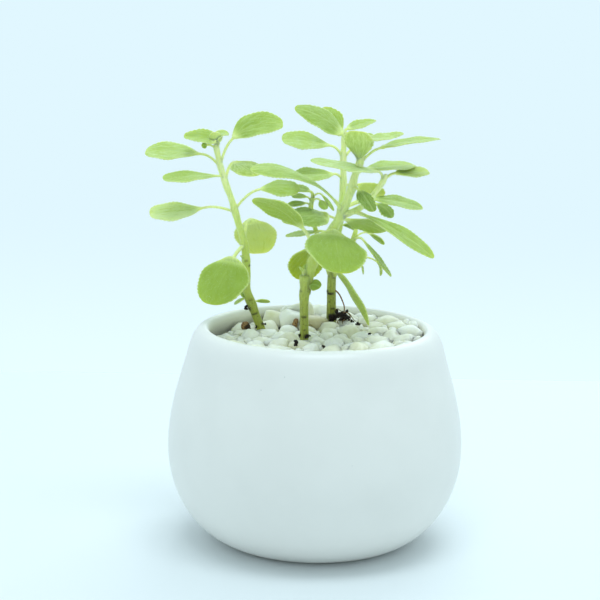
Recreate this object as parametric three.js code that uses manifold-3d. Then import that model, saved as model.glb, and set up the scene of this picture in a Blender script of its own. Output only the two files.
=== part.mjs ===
// Potted vicks plant: three leafy stems in a round ceramic pot, with soil under a white gravel top.
// Millimetres, +Z up. The origin is the centre of the pot's flat foot, and the front faces -Y.

import * as THREE from 'three';
import { mergeVertices } from 'three/addons/utils/BufferGeometryUtils.js';
import Module from 'manifold-3d';

const wasm = await Module();
wasm.setup();

// Driving dimensions of the pot
const FOOT_RADIUS = 38;
const BELLY_RADIUS = 65;
const BELLY_HEIGHT = 42;
const SHOULDER_RADIUS = 56.5;
const SHOULDER_HEIGHT = 84;
const POT_HEIGHT = 95;
const LIP_RADIUS = 49;
const MOUTH_RADIUS = 47;
const MOUTH_EDGE = 92;
const WALL = 5;
const FLOOR = 6;
const DRAIN_HOLES = 3;
const DRAIN_RADIUS = 3.5;
const DRAIN_CIRCLE = 18;
const POT_SEGMENTS = 36;
const DRAIN_SEGMENTS = 12;
const CURVE_STEPS = 5;

// The pot's half section in curves. Each is pulled to two points and ends at the third: [radius, height]
const OUTSIDE = [
  [[FOOT_RADIUS + 14, 3], [BELLY_RADIUS, 20], [BELLY_RADIUS, BELLY_HEIGHT]],
  [[BELLY_RADIUS, 58], [60, 71], [SHOULDER_RADIUS, SHOULDER_HEIGHT]],
  [[55, 90], [53, POT_HEIGHT], [LIP_RADIUS, POT_HEIGHT]],
  [[48, POT_HEIGHT], [MOUTH_RADIUS, 94], [MOUTH_RADIUS, MOUTH_EDGE]],
];
const INSIDE = [
  [[MOUTH_RADIUS + 2, 84], [BELLY_RADIUS - WALL, 66], [BELLY_RADIUS - WALL, BELLY_HEIGHT]],
  [[BELLY_RADIUS - WALL, 22], [FOOT_RADIUS + 12, FLOOR], [FOOT_RADIUS - 4, FLOOR]],
];

// Driving dimensions of the filling
const GAP = 0.3;
const SOIL_TOP = 76;
const GRAVEL_LEVEL = 91.5;
const GRAVEL_LEAN = 0.07;
const HEAP = { x: -8, y: 35, height: 8, reach: 12.7 };
const BED_DEPTH = 5;
const BED_GRID = 7;
const STONE_HALF = [5, 4.3, 3.5];
const STONE_COUNT = 58;
const STONE_SPREAD = 43;
const STONE_SCALE = [0.8, 1.25];
const STONE_ROUGHNESS = 0.3;
const STONE_TILT = 0.7;
const STONE_SHIFT = 1.6;
const STONE_RISE = 1.4;
const BIT_ROUGHNESS = 0.5;
const FILL_SEGMENTS = 32;
const ROOT_END = 64;

// Driving dimensions of the leaves and stems
const BLADE_THICKNESS = 1.1;
const EDGE_THICKNESS = 0.7;
const TOOTH_DEPTH = 0.07;
const STEM_SIDES = 6;
const STALK_HALF = [0.8, 0.7];
const ROOT_SIDES = 4;
const STEM_STEP = 5;
const SMALL_STALK = 0.6;
const STALK_BENDS = [2, 4];
const BLADE_PARTS = [4, 7, 10];
const LEAST_HALF = 0.7;
const FORM = [1.2, 0.5];
const BASE_FULLNESS = 0.85;
const SMALL_BLADE = 10;
const LARGE_BLADE = 18;
const NODE_SWELLING = 0.2;
const NODE_REACH = 2.4;

// Each shoot has a path that climbs, its radius at the foot and the tip, and its leaves.
// A leaf leaves the path at the height "at" and points to the compass turn (0 is +X, 90 is +Y).
// stalk is [length, rise], blade is [length, width] and hang is [slope at its base, fall to its tip].
// roll turns the blade about its rib, cup lifts its edges, and form is [wedge, bluntness]. Angles are in
// degrees.
const PLANTS = [
  {
    name: 'plant_left',
    shoots: [
      {
        path: [
          [-22, 18, ROOT_END], [-23.5, 18, 84], [-27.8, 18, 97], [-31.4, 17.5, 107], [-31.6, 17, 116],
          [-32.8, 17, 128], [-35.7, 17, 138], [-38.3, 17, 147], [-41.3, 17, 155], [-43.8, 17, 163],
          [-46, 17, 173],
        ],
        girth: [2.15, 1.05],
        leaves: [
          { at: 102, turn: 350, stalk: [2.5, 10], blade: [6.5, 4.5], hang: [6, 10], roll: -30 },
          { at: 103, turn: 195, stalk: [2.5, 30], blade: [5.5, 4.5], hang: [-15, 30] },
          { at: 101, turn: 165, stalk: [1.5, 60], blade: [6.5, 4], hang: [48, 10], roll: -20 },
          { at: 121, turn: 200, stalk: [1.6, 40], blade: [1.8, 2.4], hang: [40, 10] },
          {
            at: 128.2, turn: 228, stalk: [8.7, -14], blade: [24, 24.5], hang: [-56, 10], roll: -33, cup: -6,
            form: [1.12, 0.45],
          },
          {
            at: 128, turn: 72, stalk: [14.4, 84], blade: [22.4, 19.5], hang: [-30, 40], roll: -4, cup: -6,
            form: [1, 0.42],
          },
          { at: 142.3, turn: 190, stalk: [14, 19], blade: [24.5, 15], hang: [-12, -12], roll: -24, cup: 6 },
          { at: 143.5, turn: 4, stalk: [14.7, 53], blade: [18.2, 12], hang: [12, 32], roll: 28, cup: -6 },
          {
            at: 153.8, turn: 204, stalk: [5.8, 84], blade: [26.6, 14.5], hang: [0, 1], roll: -14, cup: 6,
            form: [1.7, 0.45],
          },
          { at: 156, turn: 68, stalk: [12.3, 84], blade: [20, 17], hang: [-15, 21], cup: -6 },
          { at: 162, turn: 173, stalk: [10.5, 50], blade: [25.5, 15.5], hang: [4, 6], roll: -24, cup: 6 },
          {
            at: 163, turn: 5, stalk: [12.9, 72], blade: [23.5, 16], hang: [45, 46], roll: 34, cup: 6,
            form: [0.95, 0.5],
          },
          {
            at: 170, turn: 200, stalk: [5.2, 44], blade: [2.5, 2.8], hang: [-10, 10], roll: -70,
            form: [1, 0.4],
          },
          {
            at: 171, turn: 195, stalk: [3.4, 110], blade: [14.5, 9.5], hang: [12, 8], roll: -38, cup: 20,
            form: [0.6, 0.5],
          },
          { at: 171, turn: 262, stalk: [1, 80], blade: [6, 7], hang: [60, 10], cup: 20, form: [0.8, 0.45] },
          {
            at: 172, turn: 8, stalk: [1.5, 84], blade: [7.5, 6.5], hang: [88, 120], cup: 16,
            form: [0.7, 0.4],
          },
        ],
      },
    ],
  },
  {
    name: 'plant_middle',
    shoots: [
      {
        path: [
          [-5.5, -5, ROOT_END], [-5.5, -5, 91], [-5.8, -5, 106], [-5.5, -6, 119],
        ],
        girth: [1.9, 1.8],
        leaves: [
          {
            at: 110, turn: 345, stalk: [4.8, 80], blade: [5.2, 6.4], hang: [26, 60], roll: 40,
            form: [0.9, 0.4],
          },
          { at: 117, turn: 70, stalk: [4, 80], blade: [3, 2.4], hang: [70, 40] },
          { at: 117, turn: 215, stalk: [3.5, 70], blade: [3, 2.4], hang: [80, 60] },
        ],
      },
      {
        path: [
          [-5.5, -6, 112], [-2.3, -7, 125], [5.8, -8, 139], [10, -8, 147], [13.6, -8, 157],
          [14.7, -8, 162], [16.8, -8, 168], [17.7, -7.7, 174],
        ],
        girth: [2.15, 1.3],
        leaves: [
          { at: 124.5, turn: 101, stalk: [10, 84], blade: [23.5, 16.6], hang: [-34, 30], roll: 2, cup: -6 },
          { at: 128, turn: 210, stalk: [13, 65], blade: [29, 15.5], hang: [48, 34], roll: 22, cup: -6 },
          { at: 128, turn: 20, stalk: [9.2, -26], blade: [32.8, 12.5], hang: [-51.5, 13], cup: 6 },
          {
            at: 138, turn: 278, stalk: [3, 16], blade: [28, 27], hang: [-14, 30], roll: -7, cup: -6,
            form: [1, 0.4],
          },
          { at: 139.6, turn: 29, stalk: [7, 54], blade: [21.7, 15], hang: [-6, 24], roll: -22, cup: -6 },
          {
            at: 145.5, turn: 340, stalk: [8.6, 22], blade: [37.6, 10.5], hang: [-17, 20], roll: 18, cup: 6,
            form: [1.5, 0.5],
          },
          {
            at: 147, turn: 202, stalk: [4, 56], blade: [44.5, 13], hang: [50, 57], roll: -20, cup: -6,
            form: [2.3, 0.5],
          },
          {
            at: 156.8, turn: 310, stalk: [4.2, 14], blade: [13.5, 8], hang: [-32, 11], roll: 12, cup: -6,
            form: [0.8, 0.42],
          },
          { at: 158, turn: 27, stalk: [10, 70], blade: [25, 13.5], hang: [1, 3], roll: 10, cup: 6 },
          {
            at: 168, turn: 190, stalk: [14.3, 64], blade: [24.2, 14], hang: [44, 34], roll: -32, cup: -4,
            form: [0.85, 0.55],
          },
          {
            at: 167, turn: 6, stalk: [11.5, 52], blade: [26.4, 11.5], hang: [16, 14], roll: 6, cup: 6,
            form: [0.95, 0.7],
          },
          {
            at: 171, turn: 262, stalk: [2, 80], blade: [12, 15], hang: [58, 20], roll: -8, cup: 14,
            form: [1, 0.5],
          },
          {
            at: 172, turn: 345, stalk: [7.3, 110], blade: [12, 10], hang: [6, 4], roll: 12, cup: 10,
            form: [0.9, 0.6],
          },
          { at: 173, turn: 80, stalk: [3, 70], blade: [10, 8], hang: [30, 10], cup: 10 },
        ],
      },
      {
        path: [
          [10, -8, 145], [18, -7, 149], [22, -5, 153], [26, -4, 158], [28.5, -4, 163],
        ],
        girth: [1.35, 1],
        leaves: [
          { at: 160, turn: 215, stalk: [5.3, 80], blade: [35.5, 14], hang: [8, -3], roll: -14, cup: 6 },
          { at: 159.4, turn: 34, stalk: [7, 46], blade: [17.5, 10], hang: [3, 0], roll: 18, cup: 8 },
        ],
      },
    ],
  },
  {
    name: 'plant_back',
    shoots: [
      {
        path: [
          [6.5, 25, ROOT_END], [6.7, 25, 94], [6.6, 25, 112], [8, 24.5, 128], [10.2, 24, 145],
          [10.8, 23.5, 156], [10.5, 23, 166], [10.8, 23, 178],
        ],
        girth: [2.5, 1.05],
        leaves: [
          { at: 131, turn: 190, stalk: [9, 30], blade: [15, 6.5], hang: [-8, 0], roll: -10, cup: 6 },
          {
            at: 138, turn: 216, stalk: [7, 34], blade: [25, 16], hang: [8, 20], roll: -24, cup: -4,
            form: [0.75, 0.6],
          },
          { at: 143.6, turn: 5, stalk: [14.5, 32], blade: [24, 13], hang: [-4, 12], roll: 16, cup: 6 },
          { at: 143, turn: 334, stalk: [16, 34], blade: [12, 9], hang: [-20, 18], roll: 30, cup: -6 },
          { at: 135.3, turn: 345, stalk: [2.4, 40], blade: [6, 5.4], hang: [0, 40], roll: -30, cup: 6 },
          { at: 155.8, turn: 201, stalk: [6, 60], blade: [19, 12], hang: [-2, -4], roll: -22, cup: 6 },
          { at: 154.5, turn: 30, stalk: [7, -6], blade: [14.5, 14], hang: [-6, 18], roll: -34, cup: -6 },
          { at: 166, turn: 193, stalk: [9, 68], blade: [22.5, 14.5], hang: [12, 8], roll: -28, cup: 6 },
          { at: 166.6, turn: 10, stalk: [13, 51], blade: [17.5, 9], hang: [11, 0], roll: 10, cup: 6 },
          { at: 175.3, turn: 158, stalk: [3, 84], blade: [15, 14], hang: [45, 10], roll: -30, cup: 8 },
          {
            at: 177.5, turn: 12, stalk: [2.4, 84], blade: [14.2, 7.4], hang: [20, 8], roll: 22, cup: 8,
            form: [0.75, 0.7],
          },
        ],
      },
      {
        path: [
          [6.5, 25, 112], [12.5, 21, 123], [15.5, 19.5, 130], [17, 19, 136],
        ],
        girth: [1.4, 0.9],
        leaves: [
          { at: 120, turn: 10, stalk: [16.8, 20], blade: [7.2, 4.5], hang: [-40, 70] },
          { at: 121.5, turn: 352, stalk: [9.5, 14], blade: [4.5, 3], hang: [-75, 10] },
          { at: 131, turn: 331, stalk: [5, 24], blade: [21, 5.6], hang: [-45, 4], roll: -4, cup: 6 },
          { at: 131, turn: 15, stalk: [8, 42], blade: [9, 5], hang: [-28, 18], roll: -20, cup: 6 },
        ],
      },
      {
        path: [
          [6.5, 25, 112], [3, 24, 122], [-2, 23, 137], [-3.5, 22, 144], [-2.5, 22, 150],
        ],
        girth: [1.3, 0.8],
        leaves: [
          { at: 146, turn: 194, stalk: [4, 80], blade: [7, 4.5], hang: [16, 30], roll: -20 },
          { at: 144, turn: 319, stalk: [8, 78], blade: [5.5, 5], hang: [-36, 20], roll: 12, cup: -6 },
          { at: 149, turn: 146, stalk: [3, 90], blade: [10.5, 6], hang: [10, 6], roll: -20, cup: 6 },
          { at: 147, turn: 345, stalk: [7, 75], blade: [9, 3.5], hang: [-44, 14], roll: 8 },
          { at: 143.3, turn: 200, stalk: [4, 80], blade: [9, 5], hang: [0, 10], roll: -20, cup: 6 },
        ],
      },
    ],
  },
];

// The bits that lie on the gravel: [x, y, z] of the middle, half sizes and a turn in degrees
const CHIPS = [
  { name: 'bark_chip_left', middle: [-32, 20, 90.4], half: [3, 1.8, 1.6], turn: 25 },
  { name: 'bark_chip_middle', middle: [-9.7, 21.5, 90.5], half: [1.4, 1.6, 2.2], turn: 70 },
];
const CLOD = { name: 'soil_clod', middle: [12.4, 22, 95], half: [3.6, 3, 3.2], turn: 0 };
const AIR_ROOT = [[6.5, 25, 107], [8.6, 24, 106.2], [10.9, 23.5, 103.7], [12.3, 23, 100], [12.3, 22.4, 96]];
const AIR_ROOT_RADIUS = 0.5;
const AIR_ROOT_STEPS = 10;

const COLOURS = {
  ceramic: { color: 0xeef5f6, roughness: 0.6 },
  soil: { color: 0x2e2119, roughness: 1 },
  stone: { color: 0xf3f4ea, roughness: 0.5 },
  leaf: { color: 0x9cc84e, roughness: 0.7 },
  bark: { color: 0x6b4630, roughness: 0.9 },
};

const UP = new THREE.Vector3(0, 0, 1);
const radians = THREE.MathUtils.degToRad;

// One repeatable draw from 0 to 1, so that every build gives the same stones
let seed = 41;
function draw() {
  seed = (seed * 9301 + 49297) % 233280;
  return seed / 233280;
}

// A closed geometry as a solid that can be joined and cut
function solid(geometry) {
  const bare = geometry.clone();
  bare.deleteAttribute('normal');
  bare.deleteAttribute('uv');
  const merged = mergeVertices(bare, 1e-4);
  return new wasm.Manifold(new wasm.Mesh({
    numProp: 3,
    vertProperties: new Float32Array(merged.attributes.position.array),
    triVerts: new Uint32Array(merged.index.array),
  }));
}

// A solid as a named mesh
function part(name, body, colour) {
  const mesh = body.getMesh();
  const geometry = new THREE.BufferGeometry();
  geometry.setAttribute('position', new THREE.BufferAttribute(new Float32Array(mesh.vertProperties), 3));
  geometry.setIndex(new THREE.BufferAttribute(new Uint32Array(mesh.triVerts), 1));
  geometry.computeVertexNormals();
  const node = new THREE.Mesh(geometry, new THREE.MeshStandardMaterial(COLOURS[colour]));
  node.name = name;
  return node;
}

// A closed skin through rings of equally many points, with a flat cap at each end
function loft(rings) {
  const sides = rings[0].length;
  const points = rings.flat();
  const faces = [];
  for (let i = 0; i < rings.length - 1; i += 1) {
    for (let j = 0; j < sides; j += 1) {
      const a = i * sides + j;
      const b = i * sides + ((j + 1) % sides);
      faces.push(a, b, b + sides, a, b + sides, a + sides);
    }
  }
  const last = (rings.length - 1) * sides;
  for (let j = 1; j < sides - 1; j += 1) {
    faces.push(0, j + 1, j);
    faces.push(last, last + j, last + j + 1);
  }
  return closed(points, faces);
}

// Points and faces as a geometry
function closed(points, faces) {
  const geometry = new THREE.BufferGeometry();
  geometry.setFromPoints(points);
  geometry.setIndex(faces);
  return geometry;
}

// Rings of round sections along a line of points
function tube(line, radii, sides) {
  const rings = line.map((point, i) => {
    const ahead = line[Math.min(i + 1, line.length - 1)];
    const behind = line[Math.max(i - 1, 0)];
    const along = ahead.clone().sub(behind).normalize();
    const hint = Math.abs(along.z) > 0.9 ? new THREE.Vector3(0, 1, 0) : UP;
    const u = new THREE.Vector3().crossVectors(hint, along).normalize();
    const v = new THREE.Vector3().crossVectors(along, u);
    const ring = [];
    for (let j = 0; j < sides; j += 1) {
      const angle = (2 * Math.PI * j) / sides;
      const corner = point.clone();
      corner.addScaledVector(u, radii[i] * Math.cos(angle));
      corner.addScaledVector(v, radii[i] * Math.sin(angle));
      ring.push(corner);
    }
    return ring;
  });
  return solid(loft(rings));
}

// The smooth line through a shoot's points
function shootCurve(shoot) {
  const points = shoot.path.map((p) => new THREE.Vector3(...p));
  return new THREE.CatmullRomCurve3(points, false, 'catmullrom', 0.5);
}

// The place on a climbing curve at a given height
function placeAt(curve, height) {
  let low = 0;
  let high = 1;
  for (let i = 0; i < 24; i += 1) {
    const middle = (low + high) / 2;
    if (curve.getPoint(middle).z < height) {
      low = middle;
    } else {
      high = middle;
    }
  }
  return curve.getPoint(low);
}

// A stem tapers from its foot to its tip and swells where leaves stand
function stem(shoot, grow = 0) {
  const curve = shootCurve(shoot);
  const steps = Math.ceil(curve.getLength() / STEM_STEP);
  const line = curve.getSpacedPoints(steps);
  const radii = line.map((point, i) => {
    const nearest = Math.min(...shoot.leaves.map((leaf) => Math.abs(point.z - leaf.at)));
    const swell = Math.exp(-((nearest / NODE_REACH) ** 2));
    return THREE.MathUtils.lerp(...shoot.girth, i / steps) * (1 + NODE_SWELLING * swell) + grow;
  });
  return tube(line, radii, STEM_SIDES);
}

// A blade's half width as a share: a wedge at its base that fills out to a round tip.
// The form is the wedge's length and how blunt the tip is.
function outline(t, [wedge, bluntness]) {
  const fullness = THREE.MathUtils.lerp(BASE_FULLNESS, bluntness, t);
  return Math.sin(Math.PI * Math.min(t, 0.985) ** wedge) ** fullness;
}

// The stations of a leaf from inside the stem to its tip: slope, step, half width and thickness
function leafStations(leaf) {
  const [stalk, rise] = leaf.stalk;
  const [length, width] = leaf.blade;
  const [base, fall] = leaf.hang;
  const small = length < SMALL_BLADE;
  const bends = STALK_BENDS[small ? 0 : 1];
  const parts = BLADE_PARTS[small ? 0 : length < LARGE_BLADE ? 1 : 2];
  const rows = [];
  for (let i = 0; i <= bends; i += 1) {
    const u = i / bends;
    const half = small ? SMALL_STALK : THREE.MathUtils.lerp(...STALK_HALF, u);
    const slope = rise + (base - rise) * u * u;
    rows.push({ slope, step: stalk / bends, half, thick: 1.5 * half, bend: u });
  }
  for (let i = 1; i <= parts; i += 1) {
    const t = i / parts;
    const tooth = i > 2 && i < parts ? TOOTH_DEPTH * (i % 2 ? 1 : -1) : 0;
    const half = Math.max((width / 2) * outline(t, leaf.form ?? FORM) * (1 + tooth), LEAST_HALF);
    rows.push({ slope: base - fall * t, step: length / parts, half, thick: BLADE_THICKNESS, bend: 1 });
  }
  return rows;
}

// A leaf is one thin closed body. Both its faces are split into the same triangles.
function leafBody(leaf, root) {
  const turn = radians(leaf.turn);
  const rows = leafStations(leaf);
  const top = [];
  const under = [];
  const place = root.clone();
  rows.forEach((row, i) => {
    const before = rows[Math.max(i - 1, 0)];
    const mean = radians((row.slope + before.slope) / 2);
    const step = i ? row.step : 0;
    place.add(new THREE.Vector3(Math.cos(turn), Math.sin(turn), 0).multiplyScalar(step * Math.cos(mean)));
    place.z += step * Math.sin(mean);
    const slope = radians(row.slope);
    const along = new THREE.Vector3(
      Math.cos(slope) * Math.cos(turn),
      Math.cos(slope) * Math.sin(turn),
      Math.sin(slope),
    );
    const side = new THREE.Vector3(-Math.sin(turn), Math.cos(turn), 0);
    side.applyAxisAngle(along, radians(leaf.roll ?? 0) * row.bend);
    const face = new THREE.Vector3().crossVectors(along, side);
    const cup = radians(leaf.cup ?? 0) * row.bend;
    for (let j = -1; j <= 1; j += 1) {
      const corner = place.clone();
      corner.addScaledVector(side, j * row.half * Math.cos(cup));
      corner.addScaledVector(face, Math.abs(j) * row.half * Math.sin(cup));
      const thick = j === 0 ? row.thick : Math.min(EDGE_THICKNESS, row.thick);
      top.push(corner.clone().addScaledVector(face, thick / 2));
      under.push(corner.clone().addScaledVector(face, -thick / 2));
    }
  });
  return solid(closed([...top, ...under], slabFaces(rows.length - 1)));
}

// The faces of a thin slab, three points wide, whose top points come before its under points
function slabFaces(stations) {
  const faces = [];
  const low = (stations + 1) * 3;
  for (let i = 0; i < stations; i += 1) {
    const a = i * 3;
    const b = low + a;
    faces.push(a, a + 3, a + 1, a + 1, a + 3, a + 4, a + 1, a + 4, a + 5, a + 1, a + 5, a + 2);
    faces.push(b, b + 1, b + 3, b + 1, b + 4, b + 3, b + 1, b + 5, b + 4, b + 1, b + 2, b + 5);
    faces.push(a, b, b + 3, a, b + 3, a + 3);
    faces.push(a + 2, a + 5, b + 5, a + 2, b + 5, b + 2);
  }
  const e = stations * 3;
  const d = low + e;
  faces.push(0, 1, low + 1, 0, low + 1, low, 1, 2, low + 2, 1, low + 2, low + 1);
  faces.push(e, d, d + 1, e, d + 1, e + 1, e + 1, d + 1, d + 2, e + 1, d + 2, e + 2);
  return faces;
}

// A whole plant: its shoots and leaves joined in one grown body, without loose scraps
function plant(spec, extra = []) {
  const bodies = [...extra];
  spec.shoots.forEach((shoot) => {
    const curve = shootCurve(shoot);
    bodies.push(stem(shoot));
    shoot.leaves.forEach((leaf) => bodies.push(leafBody(leaf, placeAt(curve, leaf.at))));
  });
  return largest(bodies.reduce((whole, body) => whole.add(body)));
}

// The largest of the separate bodies in a solid
function largest(body) {
  const pieces = body.decompose();
  pieces.sort((a, b) => b.volume() - a.volume());
  return pieces[0];
}

// The inside of the half section, from the mouth to the floor's middle, drawn in by a clearance
function drawInside(path, clear) {
  INSIDE.forEach((curve) => {
    const spots = curve.map(([radius, height]) => [radius - clear, Math.max(height, FLOOR + clear)]);
    path.bezierCurveTo(...spots.flat());
  });
  path.lineTo(0, FLOOR + clear);
}

// A profile that climbs on the outside, turned about the upright axis
function turned(points, segments) {
  const lathe = new THREE.LatheGeometry(points, segments);
  lathe.rotateX(Math.PI / 2);
  return solid(lathe);
}

// The pot with its drain holes
function pot() {
  const path = new THREE.Path();
  path.moveTo(0, 0);
  path.lineTo(FOOT_RADIUS, 0);
  OUTSIDE.forEach((curve) => path.bezierCurveTo(...curve.flat()));
  drawInside(path, 0);
  let body = turned(path.getPoints(CURVE_STEPS), POT_SEGMENTS);
  for (let i = 0; i < DRAIN_HOLES; i += 1) {
    const angle = (2 * Math.PI * i) / DRAIN_HOLES + Math.PI / 2;
    const hole = new THREE.CylinderGeometry(DRAIN_RADIUS, DRAIN_RADIUS, 3 * FLOOR, DRAIN_SEGMENTS);
    hole.rotateX(Math.PI / 2);
    hole.translate(DRAIN_CIRCLE * Math.cos(angle), DRAIN_CIRCLE * Math.sin(angle), FLOOR / 2);
    body = body.subtract(solid(hole));
  }
  return body;
}

// The inside of the pot, a little smaller, with room above the mouth for the heap
function inside() {
  const path = new THREE.Path();
  path.moveTo(0, 2 * POT_HEIGHT);
  path.lineTo(MOUTH_RADIUS - GAP, 2 * POT_HEIGHT);
  path.lineTo(MOUTH_RADIUS - GAP, MOUTH_EDGE);
  drawInside(path, GAP);
  return turned(path.getPoints(CURVE_STEPS).reverse(), FILL_SEGMENTS);
}

// A slab of the whole filling between two heights
function layer(from, to) {
  const slab = new THREE.BoxGeometry(2 * BELLY_RADIUS, 2 * BELLY_RADIUS, to - from);
  slab.translate(0, 0, (from + to) / 2);
  return solid(slab);
}

// A rough lump: a twenty-sided ball with its corners drawn in or out at random
function lump(rough) {
  const ball = new THREE.IcosahedronGeometry(1, 0);
  ball.deleteAttribute('normal');
  ball.deleteAttribute('uv');
  const shape = mergeVertices(ball, 1e-4);
  const spots = shape.attributes.position;
  for (let i = 0; i < spots.count; i += 1) {
    const reach = 1 + rough * (draw() - 0.5);
    spots.setXYZ(i, spots.getX(i) * reach, spots.getY(i) * reach, spots.getZ(i) * reach);
  }
  return shape;
}

// A lump of given half sizes, turned and set in its place
function setLump(spec, shape, clear = 0) {
  const body = shape.clone();
  body.scale(...spec.half.map((half) => half + clear));
  body.rotateZ(radians(spec.turn));
  body.translate(...spec.middle);
  return solid(body);
}

// The height of the gravel's top over the pot: it leans to the left and is heaped at the back
function gravelTop(x, y) {
  const away = ((x - HEAP.x) ** 2 + (y - HEAP.y) ** 2) / HEAP.reach ** 2;
  return GRAVEL_LEVEL + GRAVEL_LEAN * x + HEAP.height * Math.exp(-away);
}

// The packed bed under the loose top stones: a box whose top follows the gravel's
function gravelBed() {
  const size = 2 * (BELLY_RADIUS - WALL);
  const base = SOIL_TOP + GAP;
  const box = new THREE.BoxGeometry(size, size, 2, BED_GRID, BED_GRID, 1);
  const spots = box.attributes.position;
  for (let i = 0; i < spots.count; i += 1) {
    const top = gravelTop(spots.getX(i), spots.getY(i)) - BED_DEPTH;
    spots.setZ(i, spots.getZ(i) > 0 ? top : base);
  }
  return solid(box);
}

// Stones on a sunflower spiral, each turned and sized by the draw, half sunk in the bed
function stones() {
  const spiral = Math.PI * (3 - Math.sqrt(5));
  const bodies = [];
  for (let i = 0; i < STONE_COUNT; i += 1) {
    const reach = STONE_SPREAD * Math.sqrt((i + 0.5) / STONE_COUNT);
    const x = reach * Math.cos(i * spiral) + STONE_SHIFT * (draw() - 0.5);
    const y = reach * Math.sin(i * spiral) + STONE_SHIFT * (draw() - 0.5);
    const size = THREE.MathUtils.lerp(...STONE_SCALE, draw());
    const stone = lump(STONE_ROUGHNESS);
    stone.scale(...STONE_HALF.map((half) => half * size));
    stone.rotateX(STONE_TILT * (draw() - 0.5));
    stone.rotateZ(2 * Math.PI * draw());
    stone.translate(x, y, gravelTop(x, y) - STONE_HALF[2] * size + STONE_RISE * (draw() - 0.5));
    bodies.push(solid(stone));
  }
  return bodies;
}

// The plain hole that a stem stands in, with room all round and under it
function socket(spec) {
  const shoot = spec.shoots[0];
  const path = shoot.path.map((place) => [...place]);
  path[0][2] -= GAP;
  return stem({ ...shoot, path }, GAP);
}

// The whole potted plant
function pottedPlant() {
  const sockets = PLANTS.map(socket);
  const room = inside();
  const bits = [...CHIPS, CLOD].map((spec) => ({ spec, shape: lump(BIT_ROUGHNESS) }));
  const soilBody = sockets.reduce((body, hole) => body.subtract(hole), room.intersect(layer(0, SOIL_TOP)));
  const heaped = stones().reduce((body, stone) => body.add(stone), gravelBed());
  const pockets = bits.map(({ spec, shape }) => setLump(spec, shape, GAP));
  const cuts = [...sockets, ...pockets];
  const gravelBody = cuts.reduce((body, cut) => body.subtract(cut), heaped.intersect(room));

  const rootCurve = new THREE.CatmullRomCurve3(AIR_ROOT.map((p) => new THREE.Vector3(...p)));
  const rootLine = rootCurve.getPoints(AIR_ROOT_STEPS);
  const root = tube(rootLine, rootLine.map(() => AIR_ROOT_RADIUS), ROOT_SIDES);
  const rootHole = tube(rootLine, rootLine.map(() => AIR_ROOT_RADIUS + GAP), ROOT_SIDES);

  const whole = new THREE.Group();
  whole.add(part('pot', pot(), 'ceramic'));
  whole.add(part('potting_soil', largest(soilBody), 'soil'));
  whole.add(part('white_gravel', largest(gravelBody), 'stone'));
  PLANTS.forEach((spec) => {
    const extra = spec.name === 'plant_back' ? [root] : [];
    whole.add(part(spec.name, plant(spec, extra), 'leaf'));
  });
  bits.forEach(({ spec, shape }) => {
    let body = setLump(spec, shape);
    if (spec === CLOD) {
      body = largest(body.subtract(sockets[2]).subtract(rootHole));
    }
    whole.add(part(spec.name, body, spec === CLOD ? 'soil' : 'bark'));
  });
  return whole;
}

export default pottedPlant();
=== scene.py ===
"""Potted vicks plant: the looks of the pot, its filling and its three leafy stems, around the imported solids.

The tables are in millimetres and degrees. Every mesh goes into Blender in metres, in the row's frame: +Z is
up, the origin is the centre of the pot's flat foot, and the front faces -Y.
"""

import logging
import math
from collections.abc import Sequence
from dataclasses import dataclass, field
from enum import Enum

import bpy
import numpy as np
from mathutils import Matrix, Vector


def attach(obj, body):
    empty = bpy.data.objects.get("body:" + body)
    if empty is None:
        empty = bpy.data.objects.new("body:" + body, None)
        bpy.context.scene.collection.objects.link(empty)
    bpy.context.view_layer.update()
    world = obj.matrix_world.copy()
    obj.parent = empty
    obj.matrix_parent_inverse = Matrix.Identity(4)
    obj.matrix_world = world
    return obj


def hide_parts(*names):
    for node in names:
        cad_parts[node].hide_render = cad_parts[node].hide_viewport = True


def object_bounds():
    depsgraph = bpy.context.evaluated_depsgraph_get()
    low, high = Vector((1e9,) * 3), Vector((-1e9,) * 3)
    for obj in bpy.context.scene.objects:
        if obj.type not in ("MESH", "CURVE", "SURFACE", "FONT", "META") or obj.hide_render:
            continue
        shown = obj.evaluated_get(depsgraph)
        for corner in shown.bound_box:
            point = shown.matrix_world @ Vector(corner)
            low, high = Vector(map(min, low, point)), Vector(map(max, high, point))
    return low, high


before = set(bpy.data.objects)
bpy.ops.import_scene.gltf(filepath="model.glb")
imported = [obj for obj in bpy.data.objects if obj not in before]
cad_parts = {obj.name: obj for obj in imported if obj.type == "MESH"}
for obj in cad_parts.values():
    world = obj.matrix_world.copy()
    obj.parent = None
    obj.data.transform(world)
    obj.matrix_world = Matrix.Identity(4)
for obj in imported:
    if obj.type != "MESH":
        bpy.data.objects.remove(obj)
CAD_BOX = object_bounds()

MM = 0.001
Pair = tuple[float, float]
Triple = tuple[float, float, float]
Colour = Triple
Layer = tuple[float, int, float]
Finish = bpy.types.Material
log = logging.getLogger("potted_vicks_plant")


# Skins: surfaces as arrays


@dataclass
class Skin:
    """A surface in millimetres: points, faces of four and three corners, and tints of one value a point."""

    points: np.ndarray
    quads: np.ndarray
    triangles: np.ndarray
    tints: dict[str, np.ndarray] = field(default_factory=dict)

    def tinted(self, **values: float | np.ndarray) -> "Skin":
        """Adds named tints, each one number or one value a point, and returns this skin."""
        for name, value in values.items():
            self.tints[name] = np.broadcast_to(np.asarray(value, float), (len(self.points),)).copy()
        return self

    def tint(self, name: str) -> np.ndarray:
        """A tint's value at each point, which is 0 where the skin lacks the tint."""
        return self.tints.get(name, np.zeros(len(self.points)))


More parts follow.
